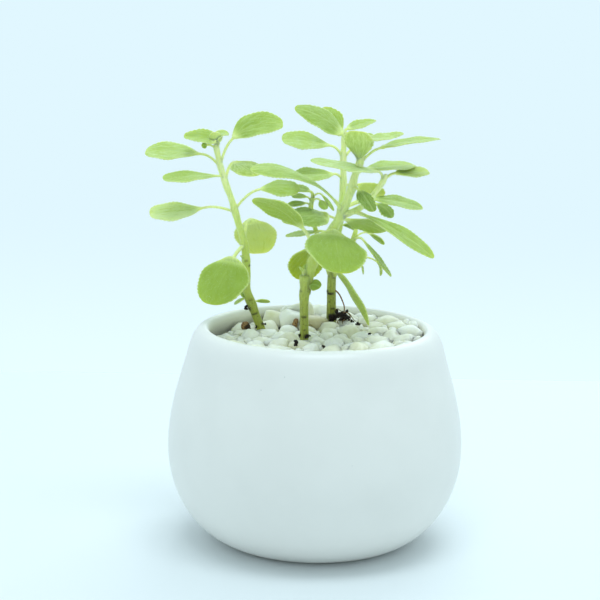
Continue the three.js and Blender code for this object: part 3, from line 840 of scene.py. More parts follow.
@dataclass(frozen=True)
class Leaf:
    """One leaf: where it stands on its shoot, how its stalk and blade run, and how green it is.

    It leaves the shoot at the height at and points to the compass turn, 0 along +X and 90 along +Y. stalk is
    (length, rise at the stem), blade (length, width), and hang (rise at the blade's base, fall to its tip).
    roll turns the blade about its rib, and cup lifts its edges. moss is how yellow its green is, and streaks
    how streaky. form is (wedge, base, tip) as in half_width, and neck is half the stalk's width.

    All leaves share the constants. RING and STATIONS count points round and along a leaf, the latter on
    stalk and blade. Names with FROM and FULL are shares of the blade. Rib, pillow, rumple and wave are the
    relief: its heights and widths in millimetres, the side veins' number, least pitch and slant, and the
    waves from base to tip.
    """

    at: float
    turn: float
    stalk: Pair
    blade: Pair
    hang: Pair
    roll: float = 0.0
    cup: float = 0.0
    tone: Tone = Tone.FRESH
    moss: float = 0.0
    form: Triple = (1.2, 0.78, 0.45)
    neck: float = 0.65
    streaks: float = 1.0

    RING = 40
    STATIONS, SMALL_STATIONS = (15, 96), (8, 30)
    TIP, CROWDING = 0.99, 1.5
    LARGE = 10.0
    SMALL_HALF, SMALL_RELIEF = 0.5, 0.3
    FOOT = 1.15
    FLARE, FLARE_REACH = 0.45, 1.6
    TOOTH_PITCH, TOOTH_DEPTH = 1.8, 0.62
    TEETH_FROM, TEETH_FULL = 0.15, 0.4
    STALK_BODY, THICKNESS, THINNER_TIP = 0.75, 0.95, 0.35
    FLATNESS, FLAT_FULL, BLADE_FULL = 0.64, 0.1, 0.22
    RIB_HALF, RIB_ABOVE, RIB_BELOW, RIB_FADE = 0.7, 0.1, 0.16, 0.6
    PILLOW_ABOVE, PILLOW_BELOW = 0.05, 0.04
    VEINS, LEAST_PITCH, VEIN_SLANT, VEIN_BEND = 4.5, 1.6, 2.2, 0.4
    RUMPLE, RUMPLE_LONG, RUMPLE_WIDE, RUMPLE_WAVES = 0.12, 7, 2.6, 14
    EDGE_FADE = 0.25
    WAVE, WAVE_HALF, WAVES = 0.28, 7, (2.3, 1.9)
    SOFT_KEEL = 0.02
    TONE_SPREAD = 0.06
    YOUNG = 0.7

    @property
    def large(self) -> bool:
        """Whether the blade is long enough to show teeth, veins and a wavy edge."""
        return self.blade[0] >= self.LARGE

    def stations(self) -> tuple[np.ndarray, np.ndarray]:
        """The stations along the leaf.

        Returns:
            u, the share of the stalk, 0 to 1 and then 1 all along the blade, and t, the share of the blade,
            0 all along the stalk and then up to 1. The blade's stations lie closer together towards its tip.
        """
        on_stalk, on_blade = self.STATIONS if self.large else self.SMALL_STATIONS
        stalk_share = np.linspace(0, 1, on_stalk)
        blade_share = 1 - (1 - np.linspace(0, self.TIP, on_blade)[1:]) ** self.CROWDING
        u = np.concatenate([stalk_share, np.ones(len(blade_share))])
        t = np.concatenate([np.zeros(len(stalk_share)), blade_share])
        return u, t

    def frame(self, root: np.ndarray, u: np.ndarray, t: np.ndarray) -> tuple[np.ndarray, ...]:
        """The rib's points and the directions at each.

        Args:
            root: Where the leaf starts, inside the stem.
            u: The share of the stalk at each station.
            t: The share of the blade at each station.

        Returns:
            Points, the direction across the leaf and the direction out of its upper face. The rise runs from
            the stalk's to the hang's first value with u squared, and then falls evenly with t. The rib is the
            running sum of the steps, each at the mean rise of its two ends.
        """
        turn = math.radians(self.turn)
        rise = np.radians(self.stalk[1] + (self.hang[0] - self.stalk[1]) * u**2 - self.hang[1] * t)
        step = np.diff(u) * self.stalk[0] + np.diff(t) * self.blade[0]
        mean = (rise[1:] + rise[:-1]) / 2
        heading, upward = np.array([math.cos(turn), math.sin(turn), 0.0]), np.array([0.0, 0.0, 1.0])
        moves = step[:, None] * (np.cos(mean)[:, None] * heading + np.sin(mean)[:, None] * upward)
        points = root + np.vstack([np.zeros(3), np.cumsum(moves, axis=0)])
        along = np.cos(rise)[:, None] * heading + np.sin(rise)[:, None] * upward
        level = np.array([-math.sin(turn), math.cos(turn), 0.0])
        roll = np.radians(self.roll) * u[:, None]
        across = np.cos(roll) * level + np.sin(roll) * np.cross(along, level)
        return points, across, np.cross(along, across)

    def half_width(self, u: np.ndarray, t: np.ndarray) -> np.ndarray:
        """Half the leaf's width at each station.

        Args:
            u: The share of the stalk.
            t: The share of the blade.

        Returns:
            The stalk's half width, flared where it leaves the stem, and over it the blade's: half its width
            times sin(pi t^wedge) to a power that runs from base to tip, scalloped past its base by round
            teeth of one depth. A larger wedge draws the base out, and a smaller power rounds an end.
        """
        wedge, base, tip = self.form
        first, last = (self.FOOT * self.neck, self.neck) if self.large else (self.SMALL_HALF, self.SMALL_HALF)
        flare = 1 + self.FLARE * np.exp(-((u * self.stalk[0] / self.FLARE_REACH) ** 2))
        stalk = (first + (last - first) * u) * flare * np.sqrt(np.clip(1 - t, 0, 1))
        power = base + (tip - base) * t
        swell = np.sin(np.pi * np.clip(t, 0, 1) ** wedge) ** power
        teeth = round(self.blade[0] / self.TOOTH_PITCH)
        scallop = np.abs(np.sin(np.pi * teeth * t)) ** 0.6 - 0.7
        half = self.blade[1] / 2
        depth = self.TOOTH_DEPTH / half * self.large * smooth(self.TEETH_FROM, self.TEETH_FULL, t)
        blade = half * np.maximum(swell, 0) * (1 + depth * scallop)
        return (stalk**6 + blade**6) ** (1 / 6)

    def skin(self, root: np.ndarray, draws: np.random.Generator) -> Skin:
        """The leaf as one closed skin from inside the stem to its tip.

        Args:
            root: Where it starts.
            draws: The source of random numbers.

        Returns:
            Rings across the leaf. A ring's point at angle a has v, from -1 at one edge to 1 at the other,
            from cos a, with points gathered at the rib and the edges, and stands out of the face by half the
            thickness times (1 - v^2)^(q/2): q is 1 on the round stalk and 0.36 on the flat blade. The edges
            lift with |v|, the edge waves, the face is sunk along the rib and bulges between the side veins.
        """
        u, t = self.stations()
        points, across, out = self.frame(root, u, t)
        half, far = self.half_width(u, t)[:, None], t[:, None]
        angles = turns(self.RING)
        v = (np.cos(angles) * (0.6 + 0.4 * np.cos(angles) ** 2))[None]
        face = np.sign(np.round(np.sin(angles), 6))[None]
        inward = np.clip(1 - v**2, 0, 1)
        blade, flat = smooth(0.0, self.BLADE_FULL, far), smooth(0.0, self.FLAT_FULL, far)
        grown = blade if self.large else blade * self.SMALL_RELIEF
        thick = self.STALK_BODY * half * (1 - flat) + self.THICKNESS / 2 * flat
        thick = thick * (1 - self.THINNER_TIP * far) * np.sqrt(np.clip(1 - far**12, 0, 1))
        body = face * thick * inward ** ((1 - self.FLATNESS * blade) / 2)
        y, x = half * v, far * self.blade[0]
        rib = np.exp(-((y / self.RIB_HALF) ** 2)) * (1 - self.RIB_FADE * far) * grown
        spot = np.stack([x / self.RUMPLE_LONG + 0 * y, y / self.RUMPLE_WIDE, 0 * y], -1)
        rumple = wrinkles(spot, draws, self.RUMPLE_WAVES, 1.0) * inward**self.EDGE_FADE * grown
        pitch = max(self.blade[0] / self.VEINS, self.LEAST_PITCH)
        place = (x - self.VEIN_SLANT * np.abs(y)) / pitch + self.VEIN_BEND * rumple
        pillow = (0.5 - 0.5 * np.cos(2 * np.pi * place)) * np.sqrt(inward) * grown
        above = self.PILLOW_ABOVE * pillow - self.RIB_ABOVE * rib
        below = -self.RIB_BELOW * rib - self.PILLOW_BELOW * (grown - pillow)
        relief = np.where(face > 0, above, below) * inward**self.EDGE_FADE + self.RUMPLE * rumple
        phases = draws.uniform(0, 2 * np.pi, size=2)
        wave = sum(
            np.sin(2 * np.pi * waves * far + phase) * np.clip(side, 0, 1) ** 2
            for waves, phase, side in zip(self.WAVES, phases, (v, -v))
        )
        lift = np.sqrt(v**2 + self.SOFT_KEEL) - math.sqrt(self.SOFT_KEEL)
        cup = math.radians(self.cup) * u[:, None]
        rise = half * lift * np.sin(cup) + body + relief + self.WAVE * wave * grown * (half / self.WAVE_HALF)
        spread = y * np.cos(cup)
        rings = points[:, None] + spread[..., None] * across[:, None] + rise[..., None] * out[:, None]
        return closed_rings(rings).tinted(
            along=over_rings(t * self.blade[0], self.RING),
            across=with_poles(y),
            pitch=pitch,
            blade=over_rings(blade[:, 0], self.RING),
            under=with_poles(np.broadcast_to((face < 0) * blade, y.shape)),
            side=with_poles(np.broadcast_to(v, y.shape)),
            own=draws.random(),
            tone=self.tone.value + self.TONE_SPREAD * draws.normal(),
            moss=self.moss,
            streaks=self.streaks,
            young=self.YOUNG,
        )


@dataclass(frozen=True)
class Mark:
    """A dark scar on a stem: its height, the side it faces, how tall and wide it is, and how dark."""

    height: float
    turn: float
    tall: float
    wide: float
    dark: float = 0.8


@dataclass(frozen=True)
class Shoot:
    """A climbing stem with its leaves: the points of its path, its radius at the foot and the tip, and marks.

    wood is (height up to which it is all bark, height from which it is all green), and brown is how brown the
    bark is. A cut shoot ends in a dry ring and the others in a small round bud.

    The constants are a ring's points and the step between rings, the swelling at leaves and its reach, the
    lengths of bud and cut edge, the shares by which corners, wrinkles and scars change the radius, and where
    from the tip the dry ring and from which height the young green begin and are full.
    """

    path: tuple[Triple, ...]
    girth: Pair
    leaves: tuple[Leaf, ...]
    wood: Pair = (80.0, 90.0)
    brown: float = 0.0
    marks: tuple[Mark, ...] = ()
    cut: bool = False

    SIDES = 28
    STEP = 0.45
    SWELLING, REACH = 0.2, 2.4
    BUD, BUD_RINGS, CUT_EDGE = 2.0, 10, 0.35
    CORNERS, CORNERS_AT, RAISED = 0.045, 0.6, 0.08
    WRINKLES, WRINKLE_RISE = (0.035, 24, 5.0), 0.25
    DRY_RING, DRY_FROM, DRY_FULL = 0.3, 0.9, 0.2
    YOUNG_FROM, YOUNG_FULL = 124, 162
    VEIN_PITCH = 2.0

    def line(self) -> np.ndarray:
        """The smooth line that the stem follows."""
        return smooth_line(self.path)

    def skin(self, draws: np.random.Generator) -> Skin:
        """The stem as a closed skin.

        Args:
            draws: The source of random numbers.

        Returns:
            A pipe along the line. Its radius runs evenly from foot to tip, grows by a fifth where leaves
            stand with exp(-(distance / reach)^2), has four blunt corners, a little roughness and raised
            scars, and closes as a dome at a growing tip and with a rounded edge at a cut one.
        """
        dense = self.line()
        length = np.linalg.norm(np.diff(dense, axis=0), axis=1).sum()
        even = np.linspace(0, 1 - self.BUD / length, round(length / self.STEP))
        dome = 1 - self.BUD / length * (1 - np.sin(np.linspace(0, 0.49 * np.pi, self.BUD_RINGS)[1:]))
        share = np.concatenate([even, dome])
        line = at_shares(dense, share)
        z = line[:, 2]
        nearest = np.abs(z[:, None] - np.array([leaf.at for leaf in self.leaves])).min(1)
        radius = self.girth[0] + (self.girth[1] - self.girth[0]) * share
        radius = radius * (1 + self.SWELLING * np.exp(-((nearest / self.REACH) ** 2)))
        from_tip = (1 - share) * length
        closed = (1 - from_tip / (self.CUT_EDGE if self.cut else self.BUD)).clip(0, 1)
        radius = radius * np.sqrt(np.clip(1 - closed**2, 0, 1))
        angles = turns(self.SIDES)
        parts = (np.cos(angles), np.sin(angles), z[:, None] * self.WRINKLE_RISE)
        rays = np.stack([np.broadcast_to(part, (len(z), self.SIDES)) for part in parts], -1)
        corners = 1 + self.CORNERS * np.cos(4 * angles + self.CORNERS_AT)[None]
        scar = self.scar_share(z, angles)
        reach = radius[:, None] * (wrinkled(corners, rays, draws, self.WRINKLES) + self.RAISED * scar)
        ring = smooth(self.DRY_FROM, self.DRY_FULL, from_tip) if self.cut else np.zeros(len(z))
        return pipe(line, reach, self.SIDES).tinted(
            scar=with_poles(np.maximum(scar, self.DRY_RING * ring[:, None])),
            wood=over_rings(1 - smooth(*self.wood, z), self.SIDES),
            brown=self.brown,
            young=over_rings(smooth(self.YOUNG_FROM, self.YOUNG_FULL, z), self.SIDES),
            pitch=self.VEIN_PITCH,
        )

    def scar_share(self, z: np.ndarray, angles: np.ndarray) -> np.ndarray:
        """How scarred the skin is, from 0 to 1.

        Args:
            z: Heights.
            angles: Angles round the stem, as in pipe.

        Returns:
            The greatest of the marks' bumps, each exp of minus the fourth powers of its share of the mark's
            size in height and in turn.
        """
        total = np.zeros((len(z), len(angles)))
        for mark in self.marks:
            off = (angles[None] - np.radians(mark.turn) + np.pi) % (2 * np.pi) - np.pi
            high, wide = (z[:, None] - mark.height) / mark.tall, off / np.radians(mark.wide)
            total = np.maximum(total, mark.dark * np.exp(-(high**4) - wide**4))
        return total


@dataclass(frozen=True)
class Down:
    """Fine upright hairs: how long and thick they are, and how many stand on a square millimetre."""

    length: Pair = (0.3, 0.75)
    radius: float = 0.032
    on_face: float = 0.6
    on_margin: float = 5.0
    on_stem: float = 4.0

    LEAN = 0.5
    ROOTED = 0.06
    ASKEW = (0.31, 0.52, 0.79)

    def density(self, skin: Skin) -> np.ndarray:
        """How dense the hairs are.

        Args:
            skin: What they grow on.

        Returns:
            Hairs on a square millimetre at each point: most along a leaf's edge, and none on bark.
        """
        margin = smooth(0.9, 1.0, np.abs(skin.tint("side")))
        on_leaf = self.on_face + (self.on_margin - self.on_face) * margin
        leafy = skin.tint("blade")
        return leafy * on_leaf + (1 - leafy) * self.on_stem * (1 - skin.tint("wood"))

    def hairs(self, skin: Skin, draws: np.random.Generator) -> Skin:
        """Hairs all over a skin.

        Args:
            skin: What they grow on.
            draws: The source of random numbers.

        Returns:
            Thin closed spikes of three sides. Their feet lie on faces that are drawn by area times density,
            at even shares of both directions, and they stand along the face's normal with a random lean.
        """
        corners = skin.points[skin.quads]
        cross = np.cross(corners[:, 2] - corners[:, 0], corners[:, 3] - corners[:, 1])
        weight = np.linalg.norm(cross, axis=1) / 2 * self.density(skin)[skin.quads].mean(1)
        count = int(weight.sum())
        pick = draws.choice(len(weight), size=count, p=weight / weight.sum())
        s, t = draws.random((2, count, 1))
        a, b, c, d = (corners[pick, k] for k in range(4))
        foot = (a * (1 - s) + b * s) * (1 - t) + (d * (1 - s) + c * s) * t
        normal = unit(cross[pick])
        way = unit(normal + self.LEAN * unit(draws.normal(size=(count, 3))))
        u = unit(np.cross(way, self.ASKEW))
        base = (foot - self.ROOTED * normal)[:, None] + self.radius * circles(u, np.cross(way, u), 3)
        tip = foot + draws.uniform(*self.length, size=(count, 1)) * way
        points = np.concatenate([base, tip[:, None]], axis=1).reshape(-1, 3)
        faces = np.array([[0, 1, 3], [1, 2, 3], [2, 0, 3], [0, 2, 1]])
        triangles = (4 * np.arange(count))[:, None, None] + faces
        return Skin(points, np.zeros((0, 4), int), triangles.reshape(-1, 3))


@dataclass(frozen=True)
class Plant:
    """One rooted plant: its CAD node's name, its shoots and the seed of its own irregularities."""

    name: str
    shoots: tuple[Shoot, ...]
    seed: int
    down: Down = Down()

    def build(self, green: Finish, pale: Finish) -> None:
        """Makes the plant's stems, leaves and down as three pieces that stand for its node.

        Args:
            green: The material of stems and leaves.
            pale: The material of the down.
        """
        draws = np.random.default_rng(self.seed)
        stems = joined([shoot.skin(draws) for shoot in self.shoots])
        borne = [(shoot, leaf) for shoot in self.shoots for leaf in shoot.leaves]
        leaves = joined([leaf.skin(at_height(shoot.line(), leaf.at), draws) for shoot, leaf in borne])
        piece(f"{self.name}_stems", stems, green, "foliage", self.name)
        piece(f"{self.name}_leaves", leaves, green, "foliage", self.name)
        down = joined([self.down.hairs(stems, draws), self.down.hairs(leaves, draws)])
        piece(f"{self.name}_down", down, pale, "foliage", self.name)


def cubic(ends: np.ndarray, count: int) -> np.ndarray:
    """Points on a cubic of four control points, from its first towards its last, which is left out."""
    t = np.linspace(0, 1, count, endpoint=False)[:, None]
    first, second, third, last = ends
    return (1 - t) ** 3 * first + 3 * (1 - t) ** 2 * t * second + 3 * (1 - t) * t**2 * third + t**3 * last


@dataclass(frozen=True)
class Pot:
    """The round pot: its curves, wall, floor and drain holes.

    belly, shoulder, lip and mouth are (radius, height). bends holds the two points that each curve of the
    half section is drawn to between its ends, and steps is how many points each curve gets.
    """

    foot: float = 38.0
    belly: Pair = (65.0, 42.0)
    shoulder: Pair = (56.5, 84.0)
    lip: Pair = (49.0, 95.0)
    mouth: Pair = (47.0, 92.0)
    bends: tuple[tuple[Pair, Pair], ...] = (
        ((52, 3), (65, 20)), ((65, 58), (60, 71)), ((55, 90), (53, 95)),
        ((48, 95), (47, 94)), ((49, 84), (60, 66)), ((60, 22), (50, 6)),
    )
    steps: tuple[int, ...] = (26, 24, 14, 8, 16, 12)
    wall: float = 5.0
    floor: float = 6.0
    floor_edge: float = 34.0
    least_ring: float = 2.0
    holes: int = 3
    hole_radius: float = 3.5
    hole_circle: float = 18.0
    sides: int = 180

    UNDER_RINGS, FLOOR_RINGS = 6, 5
    DRILL_PAST, DRILL_SIDES = 4.0, 32
    CREASE = 40

    def half_section(self) -> np.ndarray:
        """The pot's half section.

        Returns:
            Rows of (radius, height), from the foot's middle up the outside and down the inside. Each curve is
            a cubic between two ends, drawn to its two bends.
        """
        ends = [
            (self.foot, 0), self.belly, self.shoulder, self.lip, self.mouth,
            (self.belly[0] - self.wall, self.belly[1]), (self.floor_edge, self.floor),
        ]
        curves = [
            cubic(np.array([start, *bend, end], float), count)
            for start, bend, end, count in zip(ends, self.bends, ends[1:], self.steps)
        ]
        under = [(radius, 0) for radius in np.linspace(self.least_ring, self.foot, self.UNDER_RINGS)[:-1]]
        inside = np.linspace(self.floor_edge, self.least_ring, self.FLOOR_RINGS)
        within = [(radius, self.floor) for radius in inside]
        return np.vstack([under, *curves, within])

    def skin(self) -> Skin:
        """The pot without its holes.

        Returns:
            The half section turned about +Z, with a pole under and a pole on the floor.
        """
        radii, heights = self.half_section().T[:, :, None]
        angles = turns(self.sides)
        x, y = radii * np.cos(angles), radii * np.sin(angles)
        return closed_rings(np.stack([x, y, np.broadcast_to(heights, x.shape)], -1))

    def build(self, glaze: Finish) -> None:
        """Makes the pot and cuts its drain holes.

        Args:
            glaze: Its material.
        """
        whole = piece("pot_body", self.skin(), glaze, "glazed_pot", "pot")
        drills = []
        for k in range(self.holes):
            angle = 2 * math.pi * k / self.holes + math.pi / 2
            middle = np.array([self.hole_circle * math.cos(angle), self.hole_circle * math.sin(angle), 0.0])
            heights = (-self.DRILL_PAST, self.floor / 2, self.floor + self.DRILL_PAST)
            line = middle + np.array([[0, 0, height] for height in heights])
            drills.append(pipe(line, np.full(3, self.hole_radius), self.DRILL_SIDES))
        cutter = stood("drill", mesh_of("drill", joined(drills)))
        cut = whole.modifiers.new("drain_holes", "BOOLEAN")
        cut.operation, cut.solver, cut.object = "DIFFERENCE", "EXACT", cutter
        result = bpy.data.meshes.new_from_object(whole.evaluated_get(bpy.context.evaluated_depsgraph_get()))
        result.set_sharp_from_angle(angle=math.radians(self.CREASE))
        whole.modifiers.clear()
        whole.data = result
        bpy.data.objects.remove(cutter)


@dataclass
class Draws:
    """The packed gravel's repeatable draws: each seed is the last times 9301 plus 49297, modulo 233280."""

    seed: int = 41

    def next(self) -> float:
        """The next draw, from 0 to 1."""
        self.seed = (self.seed * 9301 + 49297) % 233280
        return self.seed / 233280

    def about(self, width: float) -> float:
        """The next draw, spread evenly over a width about 0."""
        return width * (self.next() - 0.5)

    def skip(self, count: int) -> None:
        """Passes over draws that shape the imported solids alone."""
        for _ in range(count):
            self.next()


@dataclass(frozen=True)
class Stone:
    """One stone: middle, half sizes, tilt and spin in radians, and whiteness, less any painted shade."""

    middle: Triple
    half: Triple
    tilt: float
    spin: float
    white: float

    FACES = 6
    SHARPNESS = (12, 28)
    WRINKLES = ((0.05, 12, 3.5), (0.02, 14, 9.0))

    def skin(self, draws: np.random.Generator, rows: int, columns: int) -> Skin:
        """The stone as a closed skin.

        Args:
            draws: The source of random numbers.
            rows: Rings from pole to pole.
            columns: Points in a ring.

        Returns:
            A pebble: each ray's reach is the smooth least of the distances to its face planes, slightly
            wrinkled, times the half sizes.
        """
        rays = ball_rays(rows, columns)
        reach = pebble_reach(rays, draws, self.FACES, draws.uniform(*self.SHARPNESS))
        reach = reach * wrinkled(1.0, rays, draws, *self.WRINKLES)
        return lump(rays, reach, self.half, (self.tilt, self.spin), self.middle).tinted(white=self.white)


def nearness(x: float | np.ndarray, y: float | np.ndarray, spot: Triple) -> float | np.ndarray:
    """1 at a spot given as (x, y, reach), falling off as exp(-(distance / reach)^2)."""
    return np.exp(-((x - spot[0]) ** 2 + (y - spot[1]) ** 2) / spot[2] ** 2)


@dataclass(frozen=True)
class Gravel:
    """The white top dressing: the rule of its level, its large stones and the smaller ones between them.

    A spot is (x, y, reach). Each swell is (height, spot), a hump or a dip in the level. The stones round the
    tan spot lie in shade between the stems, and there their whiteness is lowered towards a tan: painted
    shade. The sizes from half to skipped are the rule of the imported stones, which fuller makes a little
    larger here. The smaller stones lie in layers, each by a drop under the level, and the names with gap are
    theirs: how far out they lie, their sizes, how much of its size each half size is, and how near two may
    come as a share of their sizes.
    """

    level: float = 91.5
    lean: float = 0.07
    swells: tuple[tuple[float, Triple], ...] = (
        (8.0, (-8.0, 35.0, 12.7)), (1.1, (36.0, 14.0, 20.0)), (-1.8, (-11.0, 14.0, 5.0)),
    )
    # The tan spot, where stones lie in shade between the stems, and how much painted shade lowers them there.
    tan: Triple = (1.0, 24.0, 6.0)
    painted_shade: float = 0.9
    half: Triple = (5.0, 4.3, 3.5)
    count: int = 58
    spread: float = 43.0
    jitter: float = 1.6
    uneven: float = 1.4
    tilted: float = 0.7
    least: float = 0.8
    growth: float = 0.45
    skipped: int = 12
    fuller: float = 1.12
    layers: Pair = (0.7, 3.8)
    tries: int = 3200
    gap_spread: float = 45.5
    gap_sizes: Pair = (1.7, 4.6)
    gap_halves: tuple[Pair, Pair, Pair] = ((0.95, 1.35), (0.8, 1.05), (0.7, 1.0))
    gap_share: float = 0.76
    bed_reach: float = 46.0
    bed_depth: float = 6.0
    bed_floor: float = 76.5
    wall: float = 46.4
    seed: int = 5

    LARGE_GRID = (20, 32)
    SMALL_GRID = (11, 18)
    GAP_UNEVEN, GAP_TILT = 0.5, 0.5
    BED_RINGS, BED_UNDER_RINGS, BED_SIDES = 40, 8, 96
    BED_EDGE, BED_ROUGH, BED_WRINKLES = 0.3, 0.8, (40, 0.9)
    STEM_ROOM = 1.12

    def top(self, x: float | np.ndarray, y: float | np.ndarray) -> float | np.ndarray:
        """The gravel's height at a place: its level, which leans to the left, and its swells."""
        return self.level + self.lean * x + sum(height * nearness(x, y, spot) for height, spot in self.swells)

    def whiteness(self, x: float, y: float, draws: np.random.Generator) -> float:
        """How white a stone at a place is: a draw, less the painted shade near the tan spot."""
        return draws.random() - self.painted_shade * nearness(x, y, self.tan)

    def large_stones(self, draws: np.random.Generator) -> list[Stone]:
        """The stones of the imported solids, on a sunflower spiral with their own draws.

        Args:
            draws: The source of random numbers for whiteness.

        Returns:
            The stones, in order.
        """
        own = Draws()
        golden = math.pi * (3 - math.sqrt(5))
        stones = []
        for k in range(self.count):
            reach = self.spread * math.sqrt((k + 0.5) / self.count)
            x = reach * math.cos(k * golden) + own.about(self.jitter)
            y = reach * math.sin(k * golden) + own.about(self.jitter)
            size = self.least + self.growth * own.next()
            own.skip(self.skipped)
            tilt = own.about(self.tilted)
            spin = 2 * math.pi * own.next()
            z = self.top(x, y) - self.half[2] * size + own.about(self.uneven)
            half = tuple(self.fuller * size * part for part in self.half)
            stones.append(Stone((x, y, z), half, tilt, spin, self.whiteness(x, y, draws)))
        return stones

    def small_stones(self, placed: list[Stone], draws: np.random.Generator) -> list[Stone]:
        """Smaller stones in the gaps between those placed, and a deeper layer of them under all.

        Args:
            placed: The large stones.
            draws: The source of random numbers.

        Returns:
            Stones at random places, kept where they lie clear enough of those of their own layer.
        """
        taken = [(*stone.middle[:2], (stone.half[0] + stone.half[1]) / 2) for stone in placed]
        stones = []
        for drop in self.layers:
            for _ in range(self.tries):
                reach, turn = self.gap_spread * math.sqrt(draws.random()), draws.uniform(0, 2 * math.pi)
                size = draws.uniform(*self.gap_sizes)
                x, y = reach * math.cos(turn), reach * math.sin(turn)
                near = np.array(taken).reshape(-1, 3)
                room = self.gap_share * (near[:, 2] + size)
                if (np.hypot(near[:, 0] - x, near[:, 1] - y) < room).any():
                    continue
                taken.append((x, y, size))
                half = tuple(size * draws.uniform(*shares) for shares in self.gap_halves)
                z = self.top(x, y) - half[2] - drop + draws.uniform(-self.GAP_UNEVEN, self.GAP_UNEVEN)
                tilt, spin = draws.uniform(-self.GAP_TILT, self.GAP_TILT), draws.uniform(0, 2 * math.pi)
                stones.append(Stone((x, y, z), half, tilt, spin, self.whiteness(x, y, draws)))
            taken = []
        return stones

    def kept_clear(self, skin: Skin, stems: Sequence[Shoot]) -> Skin:
        """Draws the stones' points inside the pot's wall and out of the stems.

        Args:
            skin: The stones.
            stems: The shoots that stand in the gravel.

        Returns:
            The skin. A point past the wall goes straight in to it, and one in a stem straight out of it.
        """
        flat = skin.points[:, :2]
        far = np.linalg.norm(flat, axis=1, keepdims=True)
        flat *= np.minimum(1, self.wall / np.maximum(far, 1e-9))
        for stem in stems:
            middle = at_height(stem.line(), skin.points[:, 2])[:, :2]
            away = flat - middle
            off = np.linalg.norm(away, axis=1, keepdims=True)
            clear = stem.girth[0] * self.STEM_ROOM
            flat[:] = np.where(off < clear, middle + away / np.maximum(off, 1e-6) * clear, flat)
        return skin

    def bed(self, draws: np.random.Generator) -> Skin:
        """The dark bed under the stones.

        Args:
            draws: The source of random numbers.

        Returns:
            A closed disc of rings: a flat underside, and a top that lies by its depth under the gravel's
            level, with crumbs from wrinkles of the place.
        """
        edge, rings = self.bed_reach, self.BED_RINGS
        under = np.linspace(edge, 1, self.BED_UNDER_RINGS)
        radii = np.concatenate([np.linspace(1, edge, rings), [edge + self.BED_EDGE], under])[:, None]
        angles = turns(self.BED_SIDES)
        x, y = radii * np.cos(angles), radii * np.sin(angles)
        rough = wrinkles(np.stack([x, y, 0 * x], -1), draws, *self.BED_WRINKLES)
        top = self.top(x, y) - self.bed_depth + self.BED_ROUGH * rough
        z = np.where(np.arange(len(radii))[:, None] < rings, top, self.bed_floor)
        return closed_rings(np.stack([x, y, z], -1)[::-1])

    def build(self, white: Finish, dark: Finish, stems: Sequence[Shoot]) -> None:
        """Makes the stones and the dark bed that shows between them.

        Args:
            white: The stones' material.
            dark: The bed's material.
            stems: The shoots that stand in the gravel.
        """
        draws = np.random.default_rng(self.seed)
        large = self.large_stones(draws)
        small = self.small_stones(large, draws)
        skins = [stone.skin(draws, *self.LARGE_GRID) for stone in large]
        skins += [stone.skin(draws, *self.SMALL_GRID) for stone in small]
        piece("gravel_stones", self.kept_clear(joined(skins), stems), white, "gravel", "white_gravel")
        piece("gravel_bed", self.kept_clear(self.bed(draws), stems), dark, "soil", "white_gravel")


@dataclass(frozen=True)
class Crumbs:
    """Bits of soil: clusters of (middle, reach, how many, smallest and largest half size)."""

    clusters: tuple[tuple[Triple, Triple, int, Pair], ...]
    seed: int = 9

    GRID = (6, 9)
    FACES, SHARPNESS = 4, 9.0
    WRINKLES = (0.16, 8, 3.0)
    UNLIKE = (0.7, 1.2)
    TILTS, SPINS = (0, 3), (0, 6)

    def skin(self) -> Skin:
        """All the crumbs.

        Returns:
            Small rough pebbles in one skin, each at a random place within its cluster's reach.
        """
        draws = np.random.default_rng(self.seed)
        lumps = []
        rays = ball_rays(*self.GRID)
        for middle, reach, count, size in self.clusters:
            for _ in range(count):
                place = middle + unit(draws.normal(size=3)) * draws.random() ** 0.5 * reach
                half = draws.uniform(*size) * draws.uniform(*self.UNLIKE, size=3)
                far = pebble_reach(rays, draws, self.FACES, self.SHARPNESS)
                far = far * wrinkled(1.0, rays, draws, self.WRINKLES)
                pose = (draws.uniform(*self.TILTS), draws.uniform(*self.SPINS))
                lumps.append(lump(rays, far, half, pose, place))
        return joined(lumps)


@dataclass(frozen=True)
class Chip:
    """One bark chip: its CAD node's name, its middle, half sizes, and tilt and spin in degrees."""

    name: str
    middle: Triple
    half: Triple
    tilt: float
    spin: float

    GRID = (26, 40)
    FACES, SHARPNESS = 4, 40.0
    SIZE, LEVEL = 1.08, 0.96
    WRINKLES = ((0.3, 16, 3.4), (0.16, 30, 9.0))
    CHARRED, CHAR_FROM, CHAR_FULL = 0.9, 0.3, 0.6
    CHAR_ALONG, CHAR_ACROSS = 0.8, 0.4
    CHAR_EDGE = (0.3, 12, 4.0)

    def skin(self, draws: np.random.Generator) -> Skin:
        """The chip as a closed skin.

        Args:
            draws: The source of random numbers.

        Returns:
            A pebble of crisp faces, times a level with coarse and fine wrinkles. It is charred at one end, by
            a ray's share along X less its share along Y, with a wrinkled edge.
        """
        rays = ball_rays(*self.GRID)
        block = self.SIZE * pebble_reach(rays, draws, self.FACES, self.SHARPNESS)
        far = block * wrinkled(self.LEVEL, rays, draws, *self.WRINKLES)
        way = self.CHAR_ALONG * rays[..., 0] - self.CHAR_ACROSS * rays[..., 1]
        to_end = wrinkled(way, rays, draws, self.CHAR_EDGE)
        charred = with_poles(self.CHARRED * smooth(self.CHAR_FROM, self.CHAR_FULL, to_end))
        pose = (math.radians(self.tilt), math.radians(self.spin))
        return lump(rays, far, self.half, pose, self.middle).tinted(charred=charred)


